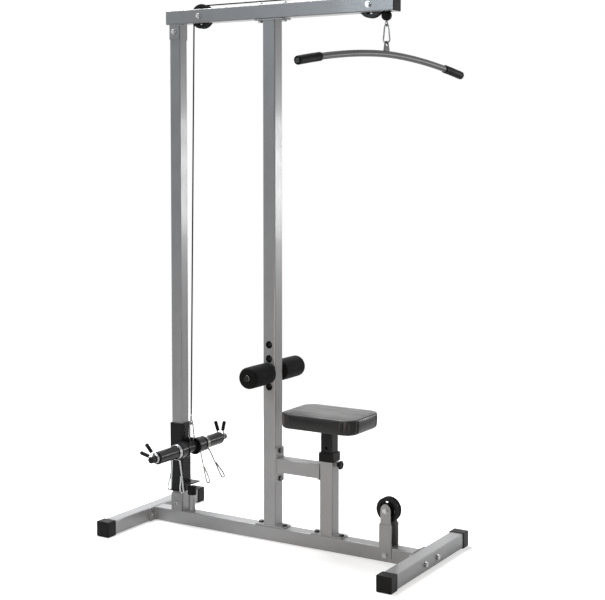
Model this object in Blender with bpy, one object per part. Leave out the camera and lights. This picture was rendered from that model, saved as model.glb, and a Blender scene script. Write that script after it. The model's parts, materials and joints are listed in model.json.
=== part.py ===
"""A plate-loaded lat pulldown and low row tower, one object for each piece.

Sizes are in metres, with +Z up and the floor at 0. +X is the front, where the user sits facing the tower.
Left is -Y and right is +Y, as the user sees them.
"""

import math

import bmesh
import bpy
import numpy as np
from mathutils import Vector

for old in list(bpy.data.objects):
    bpy.data.objects.remove(old, do_unlink=True)

# Fits
GAP = 0.0003  # left between pieces that touch
RUN = 0.0005  # left beside a piece that turns or slides
HOLE = 0.0008  # added to a bolt's radius for its hole
WELD = 0.001  # how far welded pieces reach into each other
LOOSE = 0.0008  # left where a hook's bend bears in an eye

# Square tubes
TUBE = 0.054
TUBE_WALL = 0.002
TUBE_CORNER = 0.004
GUIDE = 0.0486

# Base
BASE_SPAN = 1.226  # between the middles of the two foot tubes
FOOT_SPAN = 0.634
CAP_WALL = 0.003
CAP_REACH = 0.040
CAP_END = 0.005
CAP_CORNER = 0.007
END_FLANGE = 0.130
END_BOLT = 0.049
FLANGE = 0.134
FLANGE_WALL = 0.005
FLANGE_CORNER = 0.006
FLANGE_BOLT = 0.0535

# Fasteners
BOLT_R = 0.005
HEAD_R = 0.0098
HEAD_TALL = 0.0065
WASHER_R = 0.0115
WASHER_WALL = 0.002
STUD_REACH = 0.012
END_CHAMFER = 0.0025  # on the ends of round bars

# Uprights and beam
GUIDE_X = -0.4725
MAIN_X = -0.032
BEAM_TOP = 2.043
BEAM_REAR = -0.511
BEAM_FRONT = 0.490
PLUG_WALL = 0.004
PLUG_REACH = 0.015
BRACKET_WALL = 0.004
SOCKET_WIDE = 0.051
SOCKET_TOP = 0.127
SOCKET_BOLT_Z = 0.084
HANGER_WIDE = 0.045
HANGER_TALL = 0.059
HANGER_BOLT_DROP = 0.028

# Pulleys
REAR_PULLEY_X = -0.354
FRONT_PULLEY_X = 0.391
PULLEY_R = 0.0475
PULLEY_WIDE = 0.024
LOW_PULLEY_R = 0.0455
RIM = 0.014
LIP = 0.003
GROOVE_FLOOR = 0.006
HUB_R = 0.0155
WEB = 0.005
WEB_HOLES = 3
WEB_HOLE_R = 0.0036
WEB_HOLE_IN = 0.0046  # from the inside of the rim
SPACER_R = 0.009
SLOT_WIDE = 0.028  # narrower than the ball, which stops against its edges
SLOT_SPARE = 0.006

# Cable
CABLE_R = 0.0025
BALL_R = 0.0195
HANG_OUT = 0.0605  # from the front pulley's axle forward to the ball
EYE_DROP = 0.0115
EYE_LOOP_R = 0.0075
EYE_WIRE_R = 0.0022
FERRULE_R = 0.0045
FERRULE_TALL = 0.017

# Snap hooks
HOOK_WIRE_R = 0.003
HOOK_TALL = 0.0715
HOOK_WIDE_R = 0.0135
HOOK_NARROW_R = 0.0085
GATE_LOW = 0.020
GATE_HIGH = 0.055
GATE_GAP = 0.0005

# Lat bar
BAR_CHORD = 1.034
BAR_R = 0.0120
BAR_WALL = 0.002
BAR_DROP = 0.051
BAR_CURVE = 1.8
BAR_YAW = -0.110
LUG_WALL = 0.005
LUG_BASE = 0.036
LUG_HOLE_R = 0.007
LUG_RIM = 0.0045
LUG_RISE = 0.024  # from the top of the bar to the middle of the hole
LUG_SLOPE = math.radians(14.4)
BAR_GRIP_R = 0.0155
BAR_GRIP = 0.120
BAR_GRIP_PROUD = 0.003

# Low pulley post
LOW_X = 0.468
POST_WALL = 0.003
POST_WIDE = 0.050
POST_TOP = 0.142
POST_SKIRT = 0.038
FORK_WALL = 0.004
FORK_WIDE = 0.041
FORK_TALL = 0.0235  # above the axle
FORK_RISE = 0.050
FORK_SUNK = 0.060

# Carriage
CARRIAGE = 0.060
CARRIAGE_WALL = 0.003
CARRIAGE_BOTTOM = 0.134
CARRIAGE_TALL = 0.276
LINER_SHORT = 0.002
STOP_PLATE_RISE = 0.0375
STOP_PLATE_WALL = 0.004
STOP_PLATE_REACH = 0.0475
STOP_PLATE_WIDE = 0.056
HORN_RISE = 0.1757
HORN_R = 0.0125
HORN_REACH = 0.250
HUB_TUBE_R = 0.020
HUB_SIDE = 0.004
DISC_R = 0.034
DISC_WALL = 0.006
HORN_LUG_OUT = 0.011  # from the weight bar's axis forward to the eye of the hook
HORN_LUG_RISE = 0.0328
SLEEVE_R = 0.0245
SLEEVE_COLLAR_R = 0.031
SLEEVE_COLLAR = 0.037
SLEEVE = 0.1695

# Spring collars
WIRE_R = 0.0020
WIRE_TURNS = 3
WIRE_PITCH = 0.0048
WIRE_START_LEFT = 0.0028
WIRE_START_RIGHT = 0.018
WIRE_TOPS_LEFT = (0.025, 0.025)  # of the -X and +X leg, from below the bar's axis
WIRE_TOPS_RIGHT = (0.027, 0.010)
WIRE_SHOULDER_R = 0.010
WIRE_LEG = 0.157
WIRE_SPLAY = math.radians(8)
WIRE_RETURN = 0.066
WIRE_BEND_R = 0.0065
WIRE_TILT_LEFT = math.radians(1)
WIRE_TILT_RIGHT = math.radians(22)
CLIP_R = 0.0024
CLIP_TURNS = 1
CLIP_PITCH = 0.0056
CLIP_START = 0.003
CLIP_ARM = 0.071
CLIP_SPREAD = math.radians(16.5)
CLIP_BEND = 1.3  # radians that an arm turns through between coil and grip
CLIP_EASE = ((0.0035, 0.69), (0.0100, 0.17))  # out from the coil, and share of that turn left
CLIP_GRIP_R = 0.0064
CLIP_GRIP = 0.041
CLIP_AIM_LEFT = math.radians(149)
CLIP_AIM_RIGHT = math.radians(93)

# Carriage stop
STOP_OUT = 0.0265  # from the carriage's face to the stop post's axis
STOP_R = 0.0125
STOP_TOP = 0.135
BUMPER_R = 0.0175
BUMPER_BOTTOM = 0.123
BUMPER_TOP = 0.157

# Seat
SEAT_X = 0.218
SEAT_POST_TOP = 0.369
COLLAR_WALL = 0.0035
COLLAR_BOTTOM = 0.3395
COLLAR_LIP = 0.0032
KNOB_R = 0.017
KNOB_DEEP = 0.018
KNOB_DROP = 0.0025
BOSS_R = 0.009
BOSS_DEEP = 0.008
PAD_BOTTOM = 0.466
PAD_LONG = 0.320
PAD_WIDE = 0.230
PAD_CORNER = 0.049
PAD_TALL = 0.0545
PAD_CROWN = 0.0085
PAD_EDGE = 0.008
PAD_TUCK = 0.003
BOARD_WALL = 0.010
BOARD_INSET = 0.014
SEAT_PLATE_LONG = 0.200
SEAT_PLATE_WIDE = 0.140
SEAT_PLATE_WALL = 0.004
SEAT_POST_INSERT = 0.200  # inner post below the top of the outer one
SEAT_HOLE_R = 0.0055
SEAT_HOLE_DROP = 0.0753
SEAT_HOLE_PITCH = 0.050
SEAT_HOLES = 4
BRACE_Z = 0.2982
BRACE_FLANGE = 0.134
BRACE_BOLT = 0.054
BRACE_END_TALL = 0.062
BRACE_END_WIDE = 0.060
BRACE_END_WALL = 0.008

# Thigh rollers
ROD_R = 0.0125
ROD_Z = 0.651
ROD_PITCH = 0.0535
ROD_HOLE = 0.0008
ROD_HOLES_UP = 2
ROD_HOLES_DOWN = 1
ROLLER_R = 0.041
ROLLER = 0.145
ROLLER_ROUND = 0.012
ROLLER_SIDE = 0.006
ROD_PROUD = 0.004

# Shading
SMOOTH_UP_TO = math.radians(35)

# Places that follow from the sizes
FOOT_X = BASE_SPAN / 2
RAIL_Z = CAP_WALL + TUBE / 2
RAIL_TOP = CAP_WALL + TUBE
RAIL_END = FOOT_X - TUBE / 2 - GAP
BEAM_Z = BEAM_TOP - TUBE / 2
BEAM_BOTTOM = BEAM_TOP - TUBE
SEAT_TUBE = TUBE - 2 * TUBE_WALL - 2 * RUN
CABLE_WRAP = PULLEY_R - RIM / 2 + CABLE_R / 2  # cable's middle from a top pulley's axle
GROOVE_R = CABLE_WRAP - CABLE_R - GAP
HANG_X = FRONT_PULLEY_X + HANG_OUT
BALL_Z = BEAM_BOTTOM - math.sqrt(BALL_R**2 - (SLOT_WIDE / 2) ** 2) - GAP
EYE_Z = BALL_Z - BALL_R - EYE_DROP
EYE_BEARING = EYE_LOOP_R - EYE_WIRE_R - HOOK_WIRE_R - LOOSE
HOOK_TOP_Z = EYE_Z - EYE_BEARING
HOOK_BOTTOM_Z = HOOK_TOP_Z - (HOOK_TALL - 2 * HOOK_WIRE_R)
LUG_Z = HOOK_BOTTOM_Z - (LUG_HOLE_R - HOOK_WIRE_R - LOOSE)
BAR_Z = LUG_Z - LUG_RISE - BAR_R
CARRIAGE_FACE = GUIDE_X + CARRIAGE / 2
CARRIAGE_TOP = CARRIAGE_BOTTOM + CARRIAGE_TALL
HORN_X = CARRIAGE_FACE + GAP + HORN_R
HORN_Z = CARRIAGE_BOTTOM + HORN_RISE
DISC_Y = CARRIAGE / 2 + HUB_SIDE
SLEEVE_Y = DISC_Y + DISC_WALL + GAP
SLEEVE_END = SLEEVE_Y + SLEEVE
HORN_LUG_X = HORN_X + HORN_LUG_OUT
HORN_LUG_Z = HORN_Z + HORN_LUG_RISE
HORN_HOOK_BOTTOM_Z = HORN_LUG_Z + (LUG_HOLE_R - HOOK_WIRE_R - LOOSE)
HORN_HOOK_TOP_Z = HORN_HOOK_BOTTOM_Z + (HOOK_TALL - 2 * HOOK_WIRE_R)
HORN_EYE_Z = HORN_HOOK_TOP_Z + EYE_BEARING
STOP_X = CARRIAGE_FACE + STOP_OUT
LOW_AXLE_Z = POST_TOP + FORK_RISE
POST_IN = TUBE / 2 + GAP
POST_OUT = POST_IN + POST_WALL
FORK_OUT = POST_IN + WELD / 2
FORK_IN = FORK_OUT - FORK_WALL
COLLAR_TOP = SEAT_POST_TOP + GAP + COLLAR_LIP
KNOB_Z = COLLAR_BOTTOM - BOSS_R - KNOB_DROP
PLATE_TOP = PAD_BOTTOM - GAP
ROLLER_Y = TUBE / 2 + ROLLER_SIDE
ROD_END = ROLLER_Y + ROLLER + ROD_PROUD
ROD_HOLE_R = ROD_R + ROD_HOLE

# Materials, by what the piece is made of
FINISH = {
    "paint": ((0.42, 0.43, 0.44), 0.6, 0.38),
    "black": ((0.015, 0.015, 0.016), 0.0, 0.45),
    "rubber": ((0.012, 0.012, 0.012), 0.0, 0.75),
    "chrome": ((0.75, 0.76, 0.77), 1.0, 0.18),
    "zinc": ((0.60, 0.61, 0.63), 1.0, 0.32),
    "nylon": ((0.03, 0.03, 0.032), 0.0, 0.5),
    "vinyl": ((0.014, 0.014, 0.015), 0.0, 0.5),
    "wood": ((0.45, 0.30, 0.17), 0.0, 0.7),
    "cable": ((0.05, 0.05, 0.055), 0.0, 0.4),
}


def finish(name):
    """The Principled material of this finish, made once."""
    found = bpy.data.materials.get(name)
    if found:
        return found
    colour, metallic, roughness = FINISH[name]
    made = bpy.data.materials.new(name)
    made.use_nodes = True
    shader = made.node_tree.nodes["Principled BSDF"]
    shader.inputs["Base Color"].default_value = (*colour, 1)
    shader.inputs["Metallic"].default_value = metallic
    shader.inputs["Roughness"].default_value = roughness
    return made


def rounded(wide, tall, corner, steps=2):
    """A rounded rectangle about the origin, as (u, v) points."""
    points = []
    for su, sv, first in ((1, 1, 0), (-1, 1, 90), (-1, -1, 180), (1, -1, 270)):
        for i in range(steps + 1):
            angle = math.radians(first + 90 * i / steps)
            points.append(
                (
                    su * (wide / 2 - corner) + corner * math.cos(angle),
                    sv * (tall / 2 - corner) + corner * math.sin(angle),
                )
            )
    return points


def circle(radius, count=12):
    return [
        (
            radius * math.cos(2 * math.pi * i / count),
            radius * math.sin(2 * math.pi * i / count),
        )
        for i in range(count)
    ]


def hexagon(radius, count=12):
    """A hexagon's outline at count even angles, so that it can be joined to a circle."""
    points = []
    for i in range(count):
        angle = 2 * math.pi * i / count
        turn = (angle % (math.pi / 3)) - math.pi / 6
        reach = radius * math.cos(math.pi / 6) / math.cos(turn)
        points.append((reach * math.cos(angle), reach * math.sin(angle)))
    return points


def place(axis, centre, uv, along):
    """The point (u, v) of a section that lies square to this axis."""
    u, v = uv
    offset = {"X": (along, u, v), "Y": (u, along, v), "Z": (u, v, along)}[axis]
    return Vector(centre) + Vector(offset)


def skin(name, rings, made_of, loop=False):
    """One closed body through rings of points, its last ring joined to the first, or both ends capped."""
    built = bmesh.new()
    rows = [[built.verts.new(point) for point in ring] for ring in rings]
    pairs = list(zip(rows, rows[1:])) + ([(rows[-1], rows[0])] if loop else [])
    for first, second in pairs:
        count = max(len(first), len(second))
        for i in range(count):
            j = (i + 1) % count
            corners = [first[i % len(first)], first[j % len(first)]]
            corners += [second[j % len(second)], second[i % len(second)]]
            built.faces.new(dict.fromkeys(corners))
    if not loop:
        for end in (rows[0], rows[-1]):
            if len(end) > 2:
                built.faces.new(end)
    bmesh.ops.recalc_face_normals(built, faces=built.faces)
    mesh = bpy.data.meshes.new(name)
    built.to_mesh(mesh)
    built.free()
    mesh.materials.append(finish(made_of))
    made = bpy.data.objects.new(name, mesh)
    bpy.context.scene.collection.objects.link(made)
    return made


def prism(name, axis, centre, section, low, high, made_of="paint"):
    rings = [[place(axis, centre, uv, w) for uv in section] for w in (low, high)]
    return skin(name, rings, made_of)


def block(name, low, high, made_of="paint"):
    """A box between two corners."""
    section = [
        (low[0], low[1]),
        (high[0], low[1]),
        (high[0], high[1]),
        (low[0], high[1]),
    ]
    return prism(name, "Z", (0, 0, 0), section, low[2], high[2], made_of)


def pipe(name, axis, centre, outer, inner, low, high, made_of="paint"):
    """A hollow length between two sections with as many points each."""
    rings = [
        [place(axis, centre, uv, w) for uv in section]
        for section, w in ((outer, low), (outer, high), (inner, high), (inner, low))
    ]
    return skin(name, rings, made_of, loop=True)


def square_tube(name, axis, centre, side, wall, low, high, made_of="paint"):
    return pipe(
        name,
        axis,
        centre,
        rounded(side, side, TUBE_CORNER),
        rounded(side - 2 * wall, side - 2 * wall, TUBE_CORNER - wall),
        low,
        high,
        made_of,
    )


def turned(name, axis, centre, profile, count, made_of, loop=False):
    """A body of revolution from (radius, along) pairs."""
    rings = [
        [
            place(axis, centre, uv, w)
            for uv in (circle(r, count) if r > 0 else [(0.0, 0.0)])
        ]
        for r, w in profile
    ]
    return skin(name, rings, made_of, loop)


def drill(axis, centre, radius, low, high, count=8):
    return prism("drill", axis, centre, circle(radius, count), low, high)


def combine(target, others, operation):
    """Joins the others to the target, or cuts them from it, and removes them."""
    for other in others:
        change = target.modifiers.new(other.name, "BOOLEAN")
        change.operation = operation
        change.solver = "EXACT"
        change.object = other
        graph = bpy.context.evaluated_depsgraph_get()
        mesh = bpy.data.meshes.new_from_object(target.evaluated_get(graph))
        target.modifiers.clear()
        spent = target.data
        target.data = mesh
        mesh.name = target.name
        bpy.data.meshes.remove(spent)
        bpy.data.objects.remove(other, do_unlink=True)
    return target


def weld(target, others):
    return combine(target, others, "UNION")


def cut(target, others):
    return combine(target, others, "DIFFERENCE")


def bolt(
    name, axis, centre, way, reach, nut=True, washers=True, shoulders=(), made_of="zinc"
):
    """A hex bolt with its washers and nut. centre is under the head, and it points along the axis times way."""
    washer = WASHER_WALL if washers else 0
    stations = [
        (-washer - HEAD_TALL, hexagon(HEAD_R)),
        (-washer, hexagon(HEAD_R)),
    ]
    if washers:
        stations += [(-washer, circle(WASHER_R)), (0, circle(WASHER_R))]
    stations.append((0, circle(BOLT_R)))
    for low, high, radius in shoulders:
        stations += [
            (low, circle(BOLT_R)),
            (low, circle(radius)),
            (high, circle(radius)),
            (high, circle(BOLT_R)),
        ]
    stations.append((reach, circle(BOLT_R)))
    if nut and washers:
        stations += [(reach, circle(WASHER_R)), (reach + washer, circle(WASHER_R))]
    if nut:
        stations += [
            (reach + washer, hexagon(HEAD_R)),
            (reach + washer + HEAD_TALL, hexagon(HEAD_R)),
        ]
    rings = [
        [place(axis, centre, uv, way * w) for uv in section] for w, section in stations
    ]
    return skin(name, rings, made_of)


def frames(path, closed=False):
    """Two directions square to the path at each point, carried along it without twist."""
    count = len(path)
    tangents = []
    for i in range(count):
        before = path[(i - 1) % count] if closed or i else path[i]
        after = path[(i + 1) % count] if closed or i < count - 1 else path[i]
        tangents.append((after - before).normalized())
    start = Vector((0, 0, 1)) if abs(tangents[0].z) < 0.8 else Vector((1, 0, 0))
    side = (start - tangents[0] * start.dot(tangents[0])).normalized()
    found = []
    for tangent in tangents:
        side = (side - tangent * side.dot(tangent)).normalized()
        found.append((side, tangent.cross(side)))
    return found


def around(path, radii, sides, closed=False):
    """A ring of points about each point of the path."""
    rings = []
    for point, radius, (first, second) in zip(path, radii, frames(path, closed)):
        rings.append(
            [
                point + radius * (first * math.cos(a) + second * math.sin(a))
                for a in (2 * math.pi * i / sides for i in range(sides))
            ]
        )
    return rings


def wire(name, path, radius, sides, made_of):
    radii = radius if isinstance(radius, list) else [radius] * len(path)
    return skin(name, around(path, radii, sides), made_of)


def tube_along(name, path, outer, inner, sides, made_of):
    """A hollow tube along a path."""
    shell = around(path, [outer] * len(path), sides)
    bore = around(path, [inner] * len(path), sides)
    return skin(name, shell + bore[::-1], made_of, loop=True)


def own_gap(name, path, radius, apart):
    """Prints the least gap of a wire to itself, measured on points at least this far apart along it."""
    fine = []
    for first, second in zip(path, path[1:]):
        steps = max(1, round((second - first).length / 0.002))
        fine += [first.lerp(second, i / steps) for i in range(steps)]
    points = np.array([tuple(p) for p in fine])
    walk = np.concatenate(
        [[0], np.cumsum(np.linalg.norm(np.diff(points, axis=0), axis=1))]
    )
    reach = np.linalg.norm(points[:, None] - points[None], axis=2)
    reach[np.abs(walk[:, None] - walk[None]) < apart] = 9
    print(f"{name}: least gap to itself {1000 * (reach.min() - 2 * radius):.2f} mm")


def swivel(points, angle, centre):
    """Points turned about the vertical through centre."""
    turned_points = []
    for p in points:
        x, y = p.x - centre[0], p.y - centre[1]
        c, s = math.cos(angle), math.sin(angle)
        turned_points.append(
            Vector((centre[0] + c * x - s * y, centre[1] + s * x + c * y, p.z))
        )
    return turned_points


SIDES = ((-1, "left"), (1, "right"))
ENDS = ((-1, "rear"), (1, "front"))

# Base rail with its end flanges and the socket plates of the guide upright
rail = square_tube(
    "base_rail",
    "X",
    (0, 0, RAIL_Z),
    TUBE,
    TUBE_WALL,
    -RAIL_END + FLANGE_WALL / 2,
    RAIL_END - FLANGE_WALL / 2,
)
end_flange = rounded(END_FLANGE, TUBE, FLANGE_CORNER)
weld(
    rail,
    [
        prism("flange", "X", (0, 0, RAIL_Z), end_flange, *sorted((w, w - end * FLANGE_WALL)))
        for end, w in ((-1, -RAIL_END), (1, RAIL_END))
    ],
)
SOCKET_IN = GUIDE / 2 + GAP
weld(
    rail,
    [
        block(
            "socket",
            (
                GUIDE_X - SOCKET_WIDE / 2,
                min(side * SOCKET_IN, side * (SOCKET_IN + BRACKET_WALL)),
                RAIL_TOP - TUBE_WALL / 2,
            ),
            (
                GUIDE_X + SOCKET_WIDE / 2,
                max(side * SOCKET_IN, side * (SOCKET_IN + BRACKET_WALL)),
                SOCKET_TOP,
            ),
        )
        for side, _ in SIDES
    ],
)
hole_r = BOLT_R + HOLE
cut(
    rail,
    [
        drill("X", (end * RAIL_END, side * END_BOLT, RAIL_Z), hole_r, -TUBE / 2, TUBE / 2)
        for end, _ in ENDS
        for side, _ in SIDES
    ]
    + [
        drill("Z", (x + way * FLANGE_BOLT, 0, RAIL_TOP), hole_r, -TUBE / 2, TUBE / 2)
        for x in (MAIN_X, SEAT_X)
        for way in (-1, 1)
    ]
    + [
        drill("Y", (GUIDE_X, 0, SOCKET_BOLT_Z), hole_r, -TUBE, TUBE),
        drill("Y", (LOW_X, 0, CAP_WALL + TUBE / 2), hole_r, -TUBE, TUBE),
    ],
)

# Foot tubes, their end caps and the bolts that hold them to the rail
for end, end_name in ENDS:
    foot = square_tube(
        f"{end_name}_foot_tube",
        "Y",
        (end * FOOT_X, 0, RAIL_Z),
        TUBE,
        TUBE_WALL,
        -(FOOT_SPAN / 2 - CAP_END - GAP),
        FOOT_SPAN / 2 - CAP_END - GAP,
    )
    cut(
        foot,
        [
            drill("X", (end * FOOT_X, side * END_BOLT, RAIL_Z), hole_r, -TUBE, TUBE)
            for side, _ in SIDES
        ],
    )
    for side, side_name in SIDES:
        outer = rounded(TUBE + 2 * CAP_WALL, TUBE + 2 * CAP_WALL, CAP_CORNER)
        pocket = rounded(TUBE + 2 * GAP, TUBE + 2 * GAP, TUBE_CORNER)
        tip = side * FOOT_SPAN / 2
        skin(
            f"{end_name}_cap_{side_name}",
            [
                [place("Y", (end * FOOT_X, tip, RAIL_Z), uv, -side * w) for uv in section]
                for section, w in (
                    (pocket, CAP_END),
                    (pocket, CAP_END + CAP_REACH),
                    (outer, CAP_END + CAP_REACH),
                    (outer, 0),
                )
            ],
            "rubber",
        )
        bolt(
            f"{end_name}_foot_bolt_{side_name}",
            "X",
            (end * (FOOT_X + TUBE / 2 + GAP), side * END_BOLT, RAIL_Z),
            -end,
            TUBE + FLANGE_WALL + 3 * GAP,
        )

# Guide upright
guide = square_tube(
    "guide_upright",
    "Z",
    (GUIDE_X, 0, 0),
    GUIDE,
    TUBE_WALL,
    RAIL_TOP + GAP,
    BEAM_BOTTOM - GAP,
)
HANGER_BOLT_Z = BEAM_BOTTOM - HANGER_BOLT_DROP
cut(
    guide,
    [
        drill("Y", (GUIDE_X, 0, z), hole_r, -TUBE, TUBE)
        for z in (SOCKET_BOLT_Z, HANGER_BOLT_Z)
    ],
)
for name, z in (("guide_foot_bolt", SOCKET_BOLT_Z), ("guide_top_bolt", HANGER_BOLT_Z)):
    start = SOCKET_IN + BRACKET_WALL + GAP
    bolt(name, "Y", (GUIDE_X, -start, z), 1, 2 * start)


def flange_plate(axis, centre, low, high):
    """A welded plate, long along X under an upright and long along Z behind the brace."""
    section = (
        rounded(FLANGE, TUBE, FLANGE_CORNER)
        if axis == "Z"
        else rounded(TUBE, BRACE_FLANGE, FLANGE_CORNER)
    )
    return prism("flange", axis, centre, section, low, high)


def foot_studs(x):
    """The two bolts that hold an upright's lower flange to the rail."""
    top = RAIL_TOP + GAP + FLANGE_WALL
    return [
        bolt(
            "stud",
            "Z",
            (x + way * FLANGE_BOLT, 0, top - WELD / 2),
            -1,
            FLANGE_WALL + TUBE_WALL + STUD_REACH,
            nut=False,
            washers=False,
            made_of="paint",
        )
        for way in (-1, 1)
    ]


# Main upright with its flanges, their bolts and the row of holes for the thigh rod
FLANGE_LOW = RAIL_TOP + GAP
FLANGE_HIGH = BEAM_BOTTOM - GAP
main = square_tube(
    "main_upright",
    "Z",
    (MAIN_X, 0, 0),
    TUBE,
    TUBE_WALL,
    FLANGE_LOW + FLANGE_WALL / 2,
    FLANGE_HIGH - FLANGE_WALL / 2,
)
under = FLANGE_HIGH - FLANGE_WALL + WELD / 2
weld(
    main,
    [
        flange_plate("Z", (MAIN_X, 0, 0), FLANGE_LOW, FLANGE_LOW + FLANGE_WALL),
        flange_plate("Z", (MAIN_X, 0, 0), FLANGE_HIGH - FLANGE_WALL, FLANGE_HIGH),
        *foot_studs(MAIN_X),
        *[
            bolt(
                "stud",
                "Z",
                (MAIN_X + way * FLANGE_BOLT, 0, under),
                1,
                BEAM_TOP + GAP - under,
                washers=False,
                made_of="paint",
            )
            for way in (-1, 1)
        ],
    ],
)
cut(
    main,
    [
        drill(
            "Y", (MAIN_X, 0, ROD_Z + i * ROD_PITCH), ROD_HOLE_R, -TUBE, TUBE, count=14
        )
        for i in range(-ROD_HOLES_DOWN, ROD_HOLES_UP + 1)
    ]
    + [
        drill("X", (MAIN_X, 0, BRACE_Z + way * BRACE_BOLT), hole_r, -TUBE, TUBE)
        for way in (-1, 1)
    ],
)

# Top beam with the hanger plates of the guide upright and the slots of the pulleys
beam = square_tube(
    "top_beam", "X", (0, 0, BEAM_Z), TUBE, TUBE_WALL, BEAM_REAR, BEAM_FRONT
)
weld(
    beam,
    [
        block(
            "hanger",
            (
                GUIDE_X - HANGER_WIDE / 2,
                min(side * SOCKET_IN, side * (SOCKET_IN + BRACKET_WALL)),
                BEAM_BOTTOM - HANGER_TALL,
            ),
            (
                GUIDE_X + HANGER_WIDE / 2,
                max(side * SOCKET_IN, side * (SOCKET_IN + BRACKET_WALL)),
                BEAM_BOTTOM + TUBE_WALL / 2,
            ),
        )
        for side, _ in SIDES
    ],
)
SLOT_HALF = math.sqrt(PULLEY_R**2 - (TUBE / 2 - TUBE_WALL) ** 2) + SLOT_SPARE
SLOT_FRONT = HANG_X + SLOT_WIDE / 2 + SLOT_SPARE
cut(
    beam,
    [
        block(
            "slot",
            (low, -SLOT_WIDE / 2, BEAM_BOTTOM - TUBE / 4),
            (high, SLOT_WIDE / 2, BEAM_TOP + TUBE / 4),
        )
        for low, high in (
            (REAR_PULLEY_X - SLOT_HALF, REAR_PULLEY_X + SLOT_HALF),
            (FRONT_PULLEY_X - SLOT_HALF, SLOT_FRONT),
        )
    ]
    + [
        drill("Y", (x, 0, BEAM_Z), hole_r, -TUBE, TUBE)
        for x in (REAR_PULLEY_X, FRONT_PULLEY_X)
    ]
    + [
        drill("Z", (MAIN_X + way * FLANGE_BOLT, 0, BEAM_Z), hole_r, -TUBE, TUBE)
        for way in (-1, 1)
    ]
    + [drill("Y", (GUIDE_X, 0, HANGER_BOLT_Z), hole_r, -TUBE, TUBE)],
)
plug_side = TUBE - 2 * TUBE_WALL - 2 * GAP
prism(
    "beam_plug",
    "X",
    (BEAM_FRONT, 0, BEAM_Z),
    rounded(plug_side, plug_side, TUBE_CORNER - TUBE_WALL),
    -PLUG_REACH,
    -GAP,
    "black",
)
cap_face = prism(
    "face",
    "X",
    (BEAM_FRONT, 0, BEAM_Z),
    rounded(TUBE, TUBE, TUBE_CORNER),
    GAP,
    GAP + PLUG_WALL,
    "black",
)
neck = prism(
    "neck",
    "X",
    (BEAM_FRONT, 0, BEAM_Z),
    rounded(plug_side - 2 * WELD, plug_side - 2 * WELD, TUBE_CORNER - TUBE_WALL),
    -WELD,
    GAP + WELD,
    "black",
)
weld(bpy.data.objects["beam_plug"], [neck, cap_face])


def pulley(name, centre, radius):
    """A grooved wheel about Y with a thin, drilled web."""
    half, inner = PULLEY_WIDE / 2, radius - RIM
    groove = radius - (PULLEY_R - GROOVE_R)
    bore = BOLT_R + RUN
    profile = [(bore, -half), (bore, half), (HUB_R, half), (HUB_R, WEB / 2)]
    profile += [(inner, WEB / 2), (inner, half), (radius, half), (radius, half - LIP)]
    profile += [(groove, GROOVE_FLOOR / 2)]
    profile += [(r, -w) for r, w in profile[:1:-1]]
    wheel = turned(name, "Y", centre, profile, 24, "nylon", loop=True)
    middle = inner - WEB_HOLE_IN
    return cut(
        wheel,
        [
            drill(
                "Y",
                (
                    centre[0] + middle * math.cos(angle),
                    0,
                    centre[2] + middle * math.sin(angle),
                ),
                WEB_HOLE_R,
                -WEB,
                WEB,
                count=6,
            )
            for angle in (
                math.pi / 2 + 2 * math.pi * i / WEB_HOLES for i in range(WEB_HOLES)
            )
        ],
    )


def axle(name, centre, wall_in, wall_out):
    """The bolt of a pulley with a spacer on each side of its hub, between two walls."""
    start = wall_out + GAP
    hub = PULLEY_WIDE / 2 + RUN
    spacers = (
        (start - wall_in + GAP, start - hub, SPACER_R),
        (start + hub, start + wall_in - GAP, SPACER_R),
    )
    bolt(
        name, "Y", (centre[0], -start, centre[2]), 1, 2 * start, shoulders=spacers
    )


REAR_AXLE = (REAR_PULLEY_X, 0, BEAM_Z)
FRONT_AXLE = (FRONT_PULLEY_X, 0, BEAM_Z)
LOW_AXLE = (LOW_X, 0, LOW_AXLE_Z)
pulley("rear_pulley", REAR_AXLE, PULLEY_R)
pulley("front_pulley", FRONT_AXLE, PULLEY_R)
pulley("low_pulley", LOW_AXLE, LOW_PULLEY_R)
axle("rear_pulley_axle", REAR_AXLE, TUBE / 2 - TUBE_WALL, TUBE / 2)
axle("front_pulley_axle", FRONT_AXLE, TUBE / 2 - TUBE_WALL, TUBE / 2)
axle("low_pulley_axle", LOW_AXLE, FORK_IN, FORK_OUT)

# Low pulley post: a saddle over the rail, open at its front, with two fork plates welded inside it
post = pipe(
    "low_pulley_post",
    "Z",
    (LOW_X, 0, 0),
    rounded(POST_WIDE, 2 * POST_OUT, POST_WALL / 2),
    rounded(POST_WIDE - 2 * POST_WALL, 2 * POST_IN, POST_WALL / 4),
    RAIL_TOP - POST_SKIRT,
    POST_TOP,
)
cut(
    post,
    [
        block(
            "rail_space",
            (LOW_X - POST_WIDE, -POST_IN, CAP_WALL),
            (LOW_X + POST_WIDE, POST_IN, RAIL_TOP + GAP),
        ),
        block(
            "open_front",
            (LOW_X + POST_WIDE / 2 - 2 * POST_WALL, POST_WALL - POST_IN, RAIL_TOP),
            (LOW_X + POST_WIDE, POST_IN - POST_WALL, POST_TOP + POST_WALL),
        ),
    ],
)
fork_outline = [(-FORK_WIDE / 2, POST_TOP - FORK_SUNK), (FORK_WIDE / 2, POST_TOP - FORK_SUNK)]
fork_outline += [
    (
        FORK_WIDE / 2 * math.cos(math.pi * i / 10),
        LOW_AXLE_Z + FORK_TALL * math.sin(math.pi * i / 10),
    )
    for i in range(11)
]
weld(
    post,
    [
        prism(
            "fork",
            "Y",
            (LOW_X, 0, 0),
            fork_outline,
            min(side * FORK_IN, side * FORK_OUT),
            max(side * FORK_IN, side * FORK_OUT),
        )
        for side, _ in SIDES
    ],
)
cut(
    post,
    [
        drill("Y", LOW_AXLE, hole_r, -TUBE, TUBE),
        drill("Y", (LOW_X, 0, RAIL_Z), hole_r, -TUBE, TUBE),
    ],
)
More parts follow.
